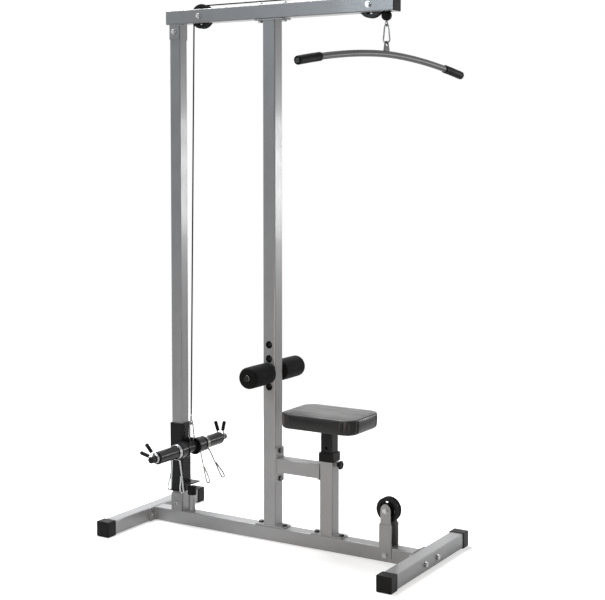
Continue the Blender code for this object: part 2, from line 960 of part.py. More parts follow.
bolt(
    "low_post_bolt",
    "Y",
    (LOW_X, -(POST_OUT + GAP), RAIL_Z),
    1,
    2 * (POST_OUT + GAP),
)

# Carriage stop on the base
turned(
    "stop_post",
    "Z",
    (STOP_X, 0, 0),
    [(STOP_R, RAIL_TOP + GAP), (STOP_R, STOP_TOP)],
    20,
    "paint",
)
turned(
    "stop_bumper",
    "Z",
    (STOP_X, 0, 0),
    [
        (STOP_R + GAP, STOP_TOP + GAP),
        (STOP_R + GAP, BUMPER_BOTTOM),
        (BUMPER_R, BUMPER_BOTTOM),
        (BUMPER_R, BUMPER_TOP - BUMPER_R / 4),
        (BUMPER_R * 0.75, BUMPER_TOP),
    ],
    20,
    "rubber",
)

# Carriage sleeve with its stop plate, and the liner that runs on the guide upright
sleeve = square_tube(
    "carriage_sleeve",
    "Z",
    (GUIDE_X, 0, 0),
    CARRIAGE,
    CARRIAGE_WALL,
    CARRIAGE_BOTTOM,
    CARRIAGE_TOP,
    "black",
)
stop_z = CARRIAGE_BOTTOM + STOP_PLATE_RISE
weld(
    sleeve,
    [
        block(
            "stop_plate",
            (CARRIAGE_FACE - WELD, -STOP_PLATE_WIDE / 2, stop_z),
            (
                CARRIAGE_FACE + STOP_PLATE_REACH,
                STOP_PLATE_WIDE / 2,
                stop_z + STOP_PLATE_WALL,
            ),
            "black",
        )
    ],
)
liner_out = CARRIAGE - 2 * CARRIAGE_WALL - 2 * GAP
liner_in = GUIDE + 2 * RUN
pipe(
    "carriage_liner",
    "Z",
    (GUIDE_X, 0, 0),
    rounded(liner_out, liner_out, TUBE_CORNER - CARRIAGE_WALL),
    rounded(liner_in, liner_in, TUBE_CORNER),
    CARRIAGE_BOTTOM + LINER_SHORT,
    CARRIAGE_TOP - LINER_SHORT,
    "nylon",
)


def lug(name, x, z, base_z, made_of):
    """A flat eye across the hook, widest at its foot, with a hole along X."""
    rim = LUG_HOLE_R + LUG_RIM
    section = [(-LUG_BASE / 2, base_z - z), (LUG_BASE / 2, base_z - z)]
    section += [
        (rim * math.cos(a), rim * math.sin(a))
        for a in (LUG_SLOPE + (math.pi - 2 * LUG_SLOPE) * i / 8 for i in range(9))
    ]
    return prism(name, "X", (x, 0, z), section, -LUG_WALL / 2, LUG_WALL / 2, made_of)


# Weight bar and the hub that carries it on the sleeve
turned(
    "weight_bar",
    "Y",
    (HORN_X, 0, HORN_Z),
    [
        (HORN_R - END_CHAMFER, -HORN_REACH),
        (HORN_R, -HORN_REACH + END_CHAMFER),
        (HORN_R, HORN_REACH - END_CHAMFER),
        (HORN_R - END_CHAMFER, HORN_REACH),
    ],
    20,
    "black",
)
hub = turned(
    "weight_bar_hub",
    "Y",
    (HORN_X, 0, HORN_Z),
    [
        (HORN_R + GAP, -DISC_Y - DISC_WALL),
        (HORN_R + GAP, DISC_Y + DISC_WALL),
        (DISC_R, DISC_Y + DISC_WALL),
        (DISC_R, DISC_Y),
        (HUB_TUBE_R, DISC_Y),
        (HUB_TUBE_R, -DISC_Y),
        (DISC_R, -DISC_Y),
        (DISC_R, -DISC_Y - DISC_WALL),
    ],
    24,
    "black",
    loop=True,
)
lug_foot = HORN_Z + math.sqrt(HUB_TUBE_R**2 - HORN_LUG_OUT**2) - 2 * WELD
weld(hub, [lug("lug", HORN_LUG_X, HORN_LUG_Z, lug_foot, "black")])
lug_half = 2 * LUG_WALL
cut(
    hub,
    [
        drill(
            "X", (HORN_LUG_X, 0, HORN_LUG_Z), LUG_HOLE_R, -lug_half, lug_half, count=12
        ),
        block(
            "carriage_space",
            (GUIDE_X, -DISC_Y + WELD, HORN_Z - CARRIAGE),
            (CARRIAGE_FACE + GAP, DISC_Y - WELD, HORN_Z + CARRIAGE),
        ),
    ],
)

# Adapter sleeves that the plates go on, and the spring collars
CURL = 12  # points in one turn, whose straight steps clear what is inside the coil
COIL_R = (SLEEVE_R + 2 * GAP + WIRE_R) / math.cos(math.pi / CURL)
CLIP_COIL_R = (HORN_R + 2 * GAP + CLIP_R) / math.cos(math.pi / CURL)

def plate_sleeve(side, side_name):
    """A tube over the weight bar with a collar at its inner end, which a plate rests against."""
    collar_end = SLEEVE_Y + SLEEVE_COLLAR
    turned(
        f"plate_sleeve_{side_name}",
        "Y",
        (HORN_X, 0, HORN_Z),
        [
            (HORN_R + RUN, side * SLEEVE_Y),
            (HORN_R + RUN, side * SLEEVE_END),
            (SLEEVE_R, side * SLEEVE_END),
            (SLEEVE_R, side * collar_end),
            (SLEEVE_COLLAR_R, side * collar_end),
            (SLEEVE_COLLAR_R, side * SLEEVE_Y),
        ],
        24,
        "black",
        loop=True,
    )


def wire_collar(side, side_name, start, tops, tilt):
    """A coil round the sleeve, one wire whose two legs leave it at the bottom and end in a bend."""
    first_y = SLEEVE_Y + SLEEVE_COLLAR + start
    shoulder_z = -COIL_R - WIRE_SHOULDER_R

    def hung(x, z, y):
        """A point of the hanging collar, turned about the weight bar."""
        c, s = math.cos(tilt), math.sin(tilt)
        return Vector((HORN_X + c * x - s * z, side * y, HORN_Z + s * x + c * z))

    def leg(way, top, y):
        """Out from the bottom of the coil, down, round a bend and part of the way back."""
        points = []
        for i in range(4):
            a = math.pi / 2 * i / 3
            across = top - WIRE_SHOULDER_R * (1 - math.sin(a))
            points.append(hung(way * across, shoulder_z + WIRE_SHOULDER_R * math.cos(a), y))
        straight = WIRE_LEG + shoulder_z - WIRE_BEND_R
        spots = [(0, straight)]
        for i in range(1, 6):
            a = math.pi * i / 6
            off = WIRE_BEND_R * (1 - math.cos(a))
            spots.append((side * off, straight + WIRE_BEND_R * math.sin(a)))
        spots.append((2 * side * WIRE_BEND_R, straight))
        spots.append((2 * side * WIRE_BEND_R, straight + WIRE_BEND_R - WIRE_RETURN))
        c, s = math.cos(WIRE_SPLAY), way * math.sin(WIRE_SPLAY)
        for off, down in spots:
            across = way * top + s * down + c * off
            points.append(hung(across, shoulder_z - c * down + s * off, y))
        return points

    coil = []
    for i in range(WIRE_TURNS * CURL + 1):
        a = 2 * math.pi * i / CURL - math.pi / 2
        y = first_y + WIRE_PITCH * i / CURL
        coil.append(hung(COIL_R * math.cos(a), COIL_R * math.sin(a), y))
    last_y = first_y + WIRE_TURNS * WIRE_PITCH
    path = leg(-1, tops[0], first_y)[::-1] + coil + leg(1, tops[1], last_y)
    wire(f"wire_collar_{side_name}", path, WIRE_R, 6, "chrome")
    own_gap(f"wire_collar_{side_name}", path, WIRE_R, 4 * WIRE_R)


def grip_collar(side, side_name, aim):
    """A coil round the weight bar, one wire with two arms that end in thicker grips."""
    first_y = SLEEVE_END + CLIP_START + CLIP_R
    begin = aim + side * (CLIP_SPREAD + CLIP_BEND)
    sweep = 2 * math.pi * (CLIP_TURNS + 1) - 2 * (CLIP_SPREAD + CLIP_BEND)
    climb = CLIP_PITCH * sweep / (2 * math.pi)
    steps = math.ceil(sweep / (2 * math.pi) * CURL)

    def polar(r, a, y):
        return Vector((HORN_X + r * math.cos(a), side * y, HORN_Z + r * math.sin(a)))

    def arm(way, y):
        """Out from the coil to the end of the grip, each point with the radius there."""
        grip_low = CLIP_ARM - CLIP_GRIP
        spots = [(CLIP_COIL_R + out, share, CLIP_R) for out, share in CLIP_EASE]
        spots += [(grip_low, 0, CLIP_R), (grip_low + GAP / 10, 0, CLIP_GRIP_R)]
        spots += [(CLIP_ARM - END_CHAMFER, 0, CLIP_GRIP_R)]
        spots += [(CLIP_ARM, 0, CLIP_GRIP_R - END_CHAMFER)]
        return [
            (polar(r, aim + way * (CLIP_SPREAD + CLIP_BEND * share), y), thick)
            for r, share, thick in spots
        ]

    coil = [
        polar(CLIP_COIL_R, begin + side * sweep * i / steps, first_y + climb * i / steps)
        for i in range(steps + 1)
    ]
    whole = arm(side, first_y)[::-1] + [(point, CLIP_R) for point in coil]
    whole += arm(-side, first_y + climb)
    path = [point for point, _ in whole]
    wire(f"grip_collar_{side_name}", path, [thick for _, thick in whole], 6, "chrome")
    own_gap(f"grip_collar_{side_name}", coil, CLIP_R, 4 * CLIP_R)


for side, side_name in SIDES:
    plate_sleeve(side, side_name)
wire_collar(-1, "left", WIRE_START_LEFT, WIRE_TOPS_LEFT, WIRE_TILT_LEFT)
wire_collar(1, "right", WIRE_START_RIGHT, WIRE_TOPS_RIGHT, WIRE_TILT_RIGHT)
grip_collar(-1, "left", CLIP_AIM_LEFT)
grip_collar(1, "right", CLIP_AIM_RIGHT)


def cable_eye(name, x, z, way, stem_end, angle=0.0):
    """A crimped loop across the hook at the end of the cable, with its stem up to stem_end."""
    loop = [
        Vector((x, EYE_LOOP_R * math.cos(a), z + EYE_LOOP_R * math.sin(a)))
        for a in (2 * math.pi * i / 14 for i in range(14))
    ]
    loop = swivel(loop, angle, (x, 0))
    ring = skin(
        name, around(loop, [EYE_WIRE_R] * 14, 6, closed=True), "zinc", loop=True
    )
    low = z + EYE_LOOP_R - EYE_WIRE_R / 2
    profile = [(FERRULE_R, low), (FERRULE_R, way), (CABLE_R, way), (CABLE_R, stem_end)]
    return weld(ring, [turned("stem", "Z", (x, 0, 0), profile, 10, "zinc")])


def hook_side(height, way):
    """Across at this height above the lower wire, on one straight side of a snap hook."""
    low, high = HOOK_WIDE_R, HOOK_TALL - 2 * HOOK_WIRE_R - HOOK_NARROW_R
    share = (height - low) / (high - low)
    return way * (HOOK_WIDE_R + (HOOK_NARROW_R - HOOK_WIDE_R) * share)


def snap_hook(body_name, gate_name, x, z, angle=0.0):
    """An open link in the XZ plane whose lower wire is at z, and its gate on the +X side."""
    tall = HOOK_TALL - 2 * HOOK_WIRE_R
    path = [(hook_side(GATE_LOW, 1), GATE_LOW)]
    for i in range(9):
        a = -math.pi * i / 8
        path.append((HOOK_WIDE_R * math.cos(a), HOOK_WIDE_R + HOOK_WIDE_R * math.sin(a)))
    for i in range(9):
        a = math.pi - math.pi * i / 8
        path.append(
            (
                HOOK_NARROW_R * math.cos(a),
                tall - HOOK_NARROW_R + HOOK_NARROW_R * math.sin(a),
            )
        )
    path.append((hook_side(GATE_HIGH, 1), GATE_HIGH))
    spine = swivel([Vector((x + u, 0, z + v)) for u, v in path], angle, (x, 0))
    wire(body_name, spine, HOOK_WIRE_R, 8, "zinc")
    low, high = GATE_LOW + GATE_GAP, GATE_HIGH - GATE_GAP
    stations = (
        (low, 0.6),
        (low + HOOK_WIRE_R / 2, 0.95),
        (high - HOOK_WIRE_R, 0.95),
        (high - HOOK_WIRE_R / 2, 0.75),
        (high, 0.3),
    )
    line = [Vector((x + hook_side(h, 1), 0, z + h)) for h, _ in stations]
    wire(
        gate_name,
        swivel(line, angle, (x, 0)),
        [HOOK_WIRE_R * share for _, share in stations],
        8,
        "zinc",
    )


# Rear end of the cable on the carriage
snap_hook("carriage_hook", "carriage_hook_gate", HORN_LUG_X, HORN_HOOK_BOTTOM_Z)
REAR_FERRULE = HORN_EYE_Z + EYE_LOOP_R + FERRULE_TALL
REAR_END_Z = REAR_FERRULE + 2 * FERRULE_R
cable_eye("cable_rear_eye", HORN_LUG_X, HORN_EYE_Z, REAR_FERRULE, REAR_END_Z)

# Front end of the cable, which carries the bar
FRONT_FERRULE = BALL_Z - BALL_R - GAP
cable_eye(
    "cable_front_eye", HANG_X, EYE_Z, FRONT_FERRULE, BALL_Z + BALL_R, angle=BAR_YAW
)
ball_steps = 7
edge = math.asin((CABLE_R + GAP) / BALL_R)
ball_profile = [
    (
        BALL_R * math.sin(edge + (math.pi - 2 * edge) * i / ball_steps),
        -BALL_R * math.cos(edge + (math.pi - 2 * edge) * i / ball_steps),
    )
    for i in range(ball_steps + 1)
]
turned("stop_ball", "Z", (HANG_X, 0, BALL_Z), ball_profile, 16, "rubber", loop=True)
snap_hook("bar_hook", "bar_hook_gate", HANG_X, HOOK_BOTTOM_Z, angle=BAR_YAW)


def tangent(axle_x, target_x, target_z, way):
    """The angle where a line from the target touches the cable's circle. way is -1 at the rear pulley."""
    dx, dz = target_x - axle_x, target_z - BEAM_Z
    return math.atan2(dz, dx) + way * math.acos(CABLE_WRAP / math.hypot(dx, dz))


def on_wrap(axle_x, angle):
    return Vector(
        (
            axle_x + CABLE_WRAP * math.cos(angle),
            0,
            BEAM_Z + CABLE_WRAP * math.sin(angle),
        )
    )


rear_angle = tangent(REAR_PULLEY_X, HORN_LUG_X, REAR_END_Z, -1) % (2 * math.pi)
front_angle = tangent(FRONT_PULLEY_X, HANG_X, BALL_Z + BALL_R, 1)
top_path = [
    on_wrap(REAR_PULLEY_X, rear_angle + (math.pi / 2 - rear_angle) * i / 8)
    for i in range(9)
]
top_path += [
    on_wrap(FRONT_PULLEY_X, math.pi / 2 + (front_angle - math.pi / 2) * i / 7)
    for i in range(8)
]
wire("cable_top_run", top_path, CABLE_R, 8, "cable")


def taut(name, start, end):
    """A straight run that stops a gap short of what it meets at each end."""
    way = (end - start).normalized()
    lean = CABLE_R * math.hypot(way.x, way.y)
    path = [start + way * 2 * GAP, end - way * (2 * GAP + lean)]
    wire(name, path, CABLE_R, 8, "cable")


taut("cable_rear_run", top_path[0], Vector((HORN_LUG_X, 0, REAR_END_Z)))
taut("cable_front_run", top_path[-1], Vector((HANG_X, 0, BALL_Z + BALL_R)))

# Lat bar with its lug and grips


def bar_point(share):
    """A point of the bar's middle line, from -1 at its left end to 1 at its right."""
    return Vector(
        (
            HANG_X,
            share * BAR_CHORD / 2,
            BAR_Z - BAR_DROP * abs(share) ** BAR_CURVE,
        )
    )


bar_line = swivel([bar_point(-1 + 2 * i / 18) for i in range(19)], BAR_YAW, (HANG_X, 0))
bar = tube_along("lat_bar", bar_line, BAR_R, BAR_R - BAR_WALL, 10, "paint")
bar_lug = lug("lug", HANG_X, LUG_Z, BAR_Z + BAR_R - BAR_WALL * 0.7, "paint")
bar_drill = drill("X", (HANG_X, 0, LUG_Z), LUG_HOLE_R, -lug_half, lug_half, count=12)
for piece in (bar_lug, bar_drill):
    for vertex in piece.data.vertices:
        vertex.co = swivel([vertex.co], BAR_YAW, (HANG_X, 0))[0]
weld(bar, [bar_lug])
cut(bar, [bar_drill])
for side, side_name in SIDES:
    near = 1 - 2 * BAR_GRIP / BAR_CHORD
    far = 1 + 2 * BAR_GRIP_PROUD / BAR_CHORD
    line = [bar_point(side * (near + (far - near) * i / 3)) for i in range(4)]
    tube_along(
        f"lat_bar_grip_{side_name}",
        swivel(line, BAR_YAW, (HANG_X, 0)),
        BAR_GRIP_R,
        BAR_R + 2 * GAP,
        12,
        "rubber",
    )

# Seat post, brace, collar and clamp knob
seat_post = square_tube(
    "seat_post",
    "Z",
    (SEAT_X, 0, 0),
    TUBE,
    TUBE_WALL,
    FLANGE_LOW + FLANGE_WALL / 2,
    SEAT_POST_TOP,
)
POST_FACE = SEAT_X + TUBE / 2
weld(
    seat_post,
    [
        flange_plate("Z", (SEAT_X, 0, 0), FLANGE_LOW, FLANGE_LOW + FLANGE_WALL),
        *foot_studs(SEAT_X),
        prism(
            "boss",
            "X",
            (POST_FACE, 0, KNOB_Z),
            circle(BOSS_R, 16),
            -TUBE_WALL / 2,
            BOSS_DEEP,
        ),
    ],
)
cut(
    seat_post,
    [drill("X", (POST_FACE, 0, KNOB_Z), hole_r, -TUBE / 2, BOSS_DEEP + TUBE / 2)],
)
STUD_TIP = SEAT_X + SEAT_TUBE / 2 + GAP
knob_start = BOSS_DEEP + RUN
turned(
    "seat_knob",
    "X",
    (POST_FACE, 0, KNOB_Z),
    [
        (BOLT_R, STUD_TIP - POST_FACE),
        (BOLT_R, knob_start),
        (KNOB_R * 0.7, knob_start),
        (KNOB_R, knob_start + KNOB_DEEP * 0.25),
        (KNOB_R, knob_start + KNOB_DEEP * 0.8),
        (KNOB_R * 0.8, knob_start + KNOB_DEEP),
    ],
    20,
    "black",
)
brace_low = MAIN_X + TUBE / 2 + GAP
brace_high = SEAT_X - TUBE / 2 - GAP
brace = square_tube(
    "seat_brace",
    "X",
    (0, 0, BRACE_Z),
    TUBE,
    TUBE_WALL,
    brace_low + FLANGE_WALL / 2,
    brace_high - BRACE_END_WALL / 2,
)
brace_reach = (brace_low + FLANGE_WALL - WELD / 2) - (MAIN_X - TUBE / 2 - GAP)
weld(
    brace,
    [
        flange_plate("X", (0, 0, BRACE_Z), brace_low, brace_low + FLANGE_WALL),
        prism(
            "end_plate",
            "X",
            (0, 0, BRACE_Z),
            rounded(BRACE_END_WIDE, BRACE_END_TALL, FLANGE_CORNER),
            brace_high - BRACE_END_WALL,
            brace_high,
        ),
        *[
            bolt(
                "stud",
                "X",
                (brace_low + FLANGE_WALL - WELD / 2, 0, BRACE_Z + way * BRACE_BOLT),
                -1,
                brace_reach,
                washers=False,
                made_of="paint",
            )
            for way in (-1, 1)
        ],
    ],
)
cut(brace, [drill("Z", (brace_low + TUBE, 0, BRACE_Z), BOLT_R, -TUBE, 0)])

collar_out = TUBE + 2 * COLLAR_WALL
collar_in = TUBE + 2 * GAP
lip_in = SEAT_TUBE + 2 * RUN
skin(
    "seat_post_collar",
    [
        [place("Z", (SEAT_X, 0, 0), uv, z) for uv in section]
        for section, z in (
            (rounded(collar_out, collar_out, TUBE_CORNER), COLLAR_BOTTOM),
            (rounded(collar_out, collar_out, TUBE_CORNER), COLLAR_TOP),
            (rounded(lip_in, lip_in, TUBE_CORNER - TUBE_WALL), COLLAR_TOP),
            (rounded(lip_in, lip_in, TUBE_CORNER - TUBE_WALL), SEAT_POST_TOP + GAP),
            (rounded(collar_in, collar_in, TUBE_CORNER), SEAT_POST_TOP + GAP),
            (rounded(collar_in, collar_in, TUBE_CORNER), COLLAR_BOTTOM),
        )
    ],
    "black",
    loop=True,
)

# Seat: inner post with its plate, board and cushion
inner = square_tube(
    "seat_inner_post",
    "Z",
    (SEAT_X, 0, 0),
    SEAT_TUBE,
    TUBE_WALL,
    SEAT_POST_TOP - SEAT_POST_INSERT,
    PLATE_TOP - SEAT_PLATE_WALL / 2,
    "black",
)
weld(
    inner,
    [
        prism(
            "plate",
            "Z",
            (SEAT_X, 0, 0),
            rounded(SEAT_PLATE_LONG, SEAT_PLATE_WIDE, FLANGE_CORNER),
            PLATE_TOP - SEAT_PLATE_WALL,
            PLATE_TOP,
            "black",
        )
    ],
)
cut(
    inner,
    [
        drill(
            "Y",
            (SEAT_X, 0, PAD_BOTTOM - SEAT_HOLE_DROP - i * SEAT_HOLE_PITCH),
            SEAT_HOLE_R,
            -TUBE,
            TUBE,
        )
        for i in range(SEAT_HOLES)
    ],
)


def pad_outline(inset, steps=5):
    return rounded(
        PAD_LONG - 2 * inset, PAD_WIDE - 2 * inset, PAD_CORNER - min(inset, PAD_CORNER * 0.8), steps
    )


prism(
    "seat_board",
    "Z",
    (SEAT_X, 0, PAD_BOTTOM),
    pad_outline(BOARD_INSET),
    0,
    BOARD_WALL,
    "wood",
)
pad_levels = [
    (BOARD_INSET - GAP, BOARD_WALL + GAP),
    (BOARD_INSET - GAP, 0),
    (PAD_TUCK + PAD_EDGE / 2, 0),
    (PAD_TUCK, PAD_EDGE / 2),
    (PAD_TUCK / 3, PAD_TALL * 0.35),
    (0, PAD_TALL * 0.6),
    (0, PAD_TALL - PAD_EDGE),
    (PAD_EDGE * 0.3, PAD_TALL - PAD_EDGE * 0.3),
    (PAD_EDGE, PAD_TALL),
]
for share in (0.25, 0.55, 0.85):
    crown_inset = PAD_EDGE + share * (PAD_WIDE / 2 - PAD_EDGE) * 0.95
    pad_levels.append(
        (crown_inset, PAD_TALL + PAD_CROWN * (1 - (1 - share) ** 2))
    )
skin(
    "seat_pad",
    [
        [place("Z", (SEAT_X, 0, PAD_BOTTOM), uv, z) for uv in pad_outline(inset)]
        for inset, z in pad_levels
    ],
    "vinyl",
)

# Thigh rod and rollers
turned(
    "thigh_rod",
    "Y",
    (MAIN_X, 0, ROD_Z),
    [
        (ROD_R - END_CHAMFER, -ROD_END),
        (ROD_R, -ROD_END + END_CHAMFER),
        (ROD_R, ROD_END - END_CHAMFER),
        (ROD_R - END_CHAMFER, ROD_END),
    ],
    20,
    "zinc",
)
for side, side_name in SIDES:
    profile = [(ROD_R + RUN, 0), (ROD_R + RUN, ROLLER)]
    rim = [
        (
            ROLLER_R - ROLLER_ROUND + ROLLER_ROUND * math.sin(a),
            ROLLER_ROUND - ROLLER_ROUND * math.cos(a),
        )
        for a in (math.pi / 2 * i / 3 for i in range(4))
    ]
    profile += [(r, ROLLER - w) for r, w in rim] + [(r, w) for r, w in rim[::-1]]
    turned(
        f"thigh_roller_{side_name}",
        "Y",
        (MAIN_X, 0, ROD_Z),
        [(r, side * (ROLLER_Y + w)) for r, w in profile],
        24,
        "rubber",
        loop=True,
    )

# Round faces shaded smooth, with their edges kept
for made in bpy.data.objects:
    made.data.shade_smooth()
    made.data.set_sharp_from_angle(angle=SMOOTH_UP_TO)

# Joint axes: each moving piece hangs on an empty that stands on its joint
JOINTS = {
    "carriage_axis": (
        (GUIDE_X, 0, CARRIAGE_BOTTOM),
        (
            "carriage_sleeve",
            "carriage_liner",
            "weight_bar",
            "weight_bar_hub",
            "carriage_hook",
            "cable_rear_eye",
        ),
    ),
    "carriage_gate_axis": (
        (
            HORN_LUG_X + hook_side(GATE_HIGH - GATE_GAP - HOOK_WIRE_R, 1),
            0,
            HORN_HOOK_BOTTOM_Z + GATE_HIGH - GATE_GAP - HOOK_WIRE_R,
        ),
        ("carriage_hook_gate",),
    ),
    "plate_sleeve_left_axis": ((HORN_X, -SLEEVE_Y, HORN_Z), ("plate_sleeve_left",)),
    "plate_sleeve_right_axis": ((HORN_X, SLEEVE_Y, HORN_Z), ("plate_sleeve_right",)),
    "wire_collar_left_axis": ((HORN_X, -SLEEVE_END, HORN_Z), ("wire_collar_left",)),
    "wire_collar_right_axis": ((HORN_X, SLEEVE_END, HORN_Z), ("wire_collar_right",)),
    "grip_collar_left_axis": ((HORN_X, -HORN_REACH, HORN_Z), ("grip_collar_left",)),
    "grip_collar_right_axis": ((HORN_X, HORN_REACH, HORN_Z), ("grip_collar_right",)),
    "ball_axis": ((HANG_X, 0, BALL_Z), ("stop_ball",)),
    "hook_axis": ((HANG_X, 0, EYE_Z), ("cable_front_eye", "bar_hook")),
    "bar_gate_axis": (
        tuple(
            swivel(
                [
                    Vector(
                        (
                            HANG_X + hook_side(GATE_HIGH - GATE_GAP - HOOK_WIRE_R, 1),
                            0,
                            HOOK_BOTTOM_Z + GATE_HIGH - GATE_GAP - HOOK_WIRE_R,
                        )
                    )
                ],
                BAR_YAW,
                (HANG_X, 0),
            )[0]
        ),
        ("bar_hook_gate",),
    ),
    "bar_axis": (
        (HANG_X, 0, HOOK_BOTTOM_Z),
        ("lat_bar", "lat_bar_grip_left", "lat_bar_grip_right"),
    ),
    "rear_pulley_axis": (REAR_AXLE, ("rear_pulley",)),
    "front_pulley_axis": (FRONT_AXLE, ("front_pulley",)),
    "low_pulley_axis": (LOW_AXLE, ("low_pulley",)),
    "seat_axis": (
        (SEAT_X, 0, SEAT_POST_TOP),
        ("seat_inner_post", "seat_board", "seat_pad"),
    ),
    "knob_axis": ((POST_FACE, 0, KNOB_Z), ("seat_knob",)),
    "roller_axis": (
        (MAIN_X, 0, ROD_Z),
        ("thigh_roller_left", "thigh_roller_right"),
    ),
}
for name, (at, held) in JOINTS.items():
    empty = bpy.data.objects.new(name, None)
    empty.location = at
    empty.empty_display_size = 0.05
    bpy.context.scene.collection.objects.link(empty)
    for piece_name in held:
        piece = bpy.data.objects[piece_name]
        for vertex in piece.data.vertices:
            vertex.co -= Vector(at)
        piece.parent = empty
    print(name, [round(value, 5) for value in at])
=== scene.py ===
# %% [markdown]
# # Dressing a cable tower gym
# The CAD model already holds every piece in its real place, in metres, with the joints that move
# it. This lesson loads that model as a fixed frame and dresses it: welded tubes get soft edges and
# paint, and round, wound or soft pieces are made again with more detail, each riding on the body
# it belongs to.

import json
import math

import bmesh
import bpy
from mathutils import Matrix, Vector

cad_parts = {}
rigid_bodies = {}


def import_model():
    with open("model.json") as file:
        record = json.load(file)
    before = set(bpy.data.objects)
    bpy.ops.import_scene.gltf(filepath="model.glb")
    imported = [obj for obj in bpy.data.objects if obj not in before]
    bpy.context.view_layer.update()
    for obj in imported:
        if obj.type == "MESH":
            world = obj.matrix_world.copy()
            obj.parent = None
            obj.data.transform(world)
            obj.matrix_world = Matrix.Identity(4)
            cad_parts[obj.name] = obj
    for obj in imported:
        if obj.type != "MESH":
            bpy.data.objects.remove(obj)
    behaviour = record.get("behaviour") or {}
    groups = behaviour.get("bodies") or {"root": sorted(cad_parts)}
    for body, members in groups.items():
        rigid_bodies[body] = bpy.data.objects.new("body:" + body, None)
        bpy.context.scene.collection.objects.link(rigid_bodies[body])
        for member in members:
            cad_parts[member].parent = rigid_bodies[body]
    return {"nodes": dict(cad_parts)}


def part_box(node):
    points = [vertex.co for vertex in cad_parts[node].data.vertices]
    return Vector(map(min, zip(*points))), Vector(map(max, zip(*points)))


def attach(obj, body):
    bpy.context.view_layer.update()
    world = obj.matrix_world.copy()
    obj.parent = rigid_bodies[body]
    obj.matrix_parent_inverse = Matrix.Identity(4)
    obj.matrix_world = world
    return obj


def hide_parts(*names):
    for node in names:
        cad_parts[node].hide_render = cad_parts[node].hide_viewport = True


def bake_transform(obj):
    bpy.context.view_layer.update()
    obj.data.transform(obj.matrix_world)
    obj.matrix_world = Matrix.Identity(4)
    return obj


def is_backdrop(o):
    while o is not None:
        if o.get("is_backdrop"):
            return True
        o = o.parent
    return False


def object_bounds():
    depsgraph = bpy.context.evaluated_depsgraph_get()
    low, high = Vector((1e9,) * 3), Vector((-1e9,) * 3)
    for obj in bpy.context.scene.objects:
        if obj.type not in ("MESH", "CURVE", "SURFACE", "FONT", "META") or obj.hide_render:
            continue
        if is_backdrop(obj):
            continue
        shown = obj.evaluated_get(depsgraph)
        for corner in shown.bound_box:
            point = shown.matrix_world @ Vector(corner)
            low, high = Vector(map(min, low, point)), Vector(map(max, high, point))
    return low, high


for leftover in list(bpy.data.objects):
    bpy.data.objects.remove(leftover)

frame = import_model()
nodes = frame["nodes"]
scene = bpy.context.scene
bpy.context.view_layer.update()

# %% [markdown]
# ## Camera
# The photograph was solved as a perspective view: the camera stands to the right of the seat,
# a little below the middle of the tower, and its frame is shifted down, as a cropped picture is.
# A shift in the lens keeps the uprights' lean right, where a tilt would change it.

# %% Camera
PHOTO_WIDE = 605
FOCAL_PIXELS = 1278.33
CENTRE_BELOW = 75.14
SENSOR = 36.0
CAMERA_PLACE = (2.581, -4.08186, 1.48183)
CAMERA_DOWN = 0.05539
CAMERA_TURN = 0.54609

camera_data = bpy.data.cameras.new("photo_camera")
camera_data.sensor_width = SENSOR
camera_data.lens = SENSOR * FOCAL_PIXELS / PHOTO_WIDE
camera_data.shift_y = -CENTRE_BELOW / PHOTO_WIDE
camera = bpy.data.objects.new("photo_camera", camera_data)
camera.location = CAMERA_PLACE
camera.rotation_euler = (math.pi / 2 - CAMERA_DOWN, 0, CAMERA_TURN)
scene.collection.objects.link(camera)
scene.camera = camera
scene.view_settings.view_transform = "Standard"
print("lens in mm:", round(camera_data.lens, 2))

# %% [markdown]
# ## Node helpers
# A material is a small graph of nodes. It can be drawn by hand in the shader editor, but a script
# gives the same graph on every run. These helpers add one node in one line, so that the materials
# further down read like sentences. A value that is a socket is linked; any other is set.


# %% Node helpers
def add(tree, kind, inputs=None, **settings):
    """A new node with its settings, and with its inputs linked or set."""
    made = tree.nodes.new(kind)
    for key, value in settings.items():
        setattr(made, key, value)
    for key, value in (inputs or {}).items():
        if isinstance(value, bpy.types.NodeSocket):
            tree.links.new(value, made.inputs[key])
        else:
            made.inputs[key].default_value = value
    return made


def sum_of(tree, parts):
    """The sum of values, each times its share."""
    total = None
    for value, share in parts:
        part = add(tree, "ShaderNodeMath", {0: value, 1: share}, operation="MULTIPLY").outputs[0]
        if total is None:
            total = part
        else:
            total = add(tree, "ShaderNodeMath", {0: total, 1: part}, operation="ADD").outputs[0]
    return total


def stretched(tree, value, low, high, to_low=0.0, to_high=1.0):
    """A value moved from one range to another, and held inside it."""
    inputs = {"Value": value, 1: low, 2: high, 3: to_low, 4: to_high}
    return add(tree, "ShaderNodeMapRange", inputs).outputs[0]


def mixed(tree, factor, first, second):
    """One colour turning into another."""
    inputs = {0: factor, 6: first, 7: second}
    return add(tree, "ShaderNodeMix", inputs, data_type="RGBA").outputs[2]


print("node helpers ready")

# %% [markdown]
# ## Studio
# The photograph is a cut-out on white. Strong lamps could wash a grey floor out to white, but they
# would bleach the object too. So the world is white only for camera, mirror and glass rays, and it
# adds little light to the object.

# %% World
WORLD_FILL = 0.04
WHITE = (1, 1, 1, 1)


def seen_rays(tree, level, lit=0.0):
    """The level for camera, mirror and glass rays, and another for light that falls on things."""
    rays = add(tree, "ShaderNodeLightPath")
    kinds = ("Is Camera Ray", "Is Glossy Ray", "Is Transmission Ray")
    seen = sum_of(tree, [(rays.outputs[kind], 1.0) for kind in kinds])
    return stretched(tree, seen, 0, 1, lit, level)


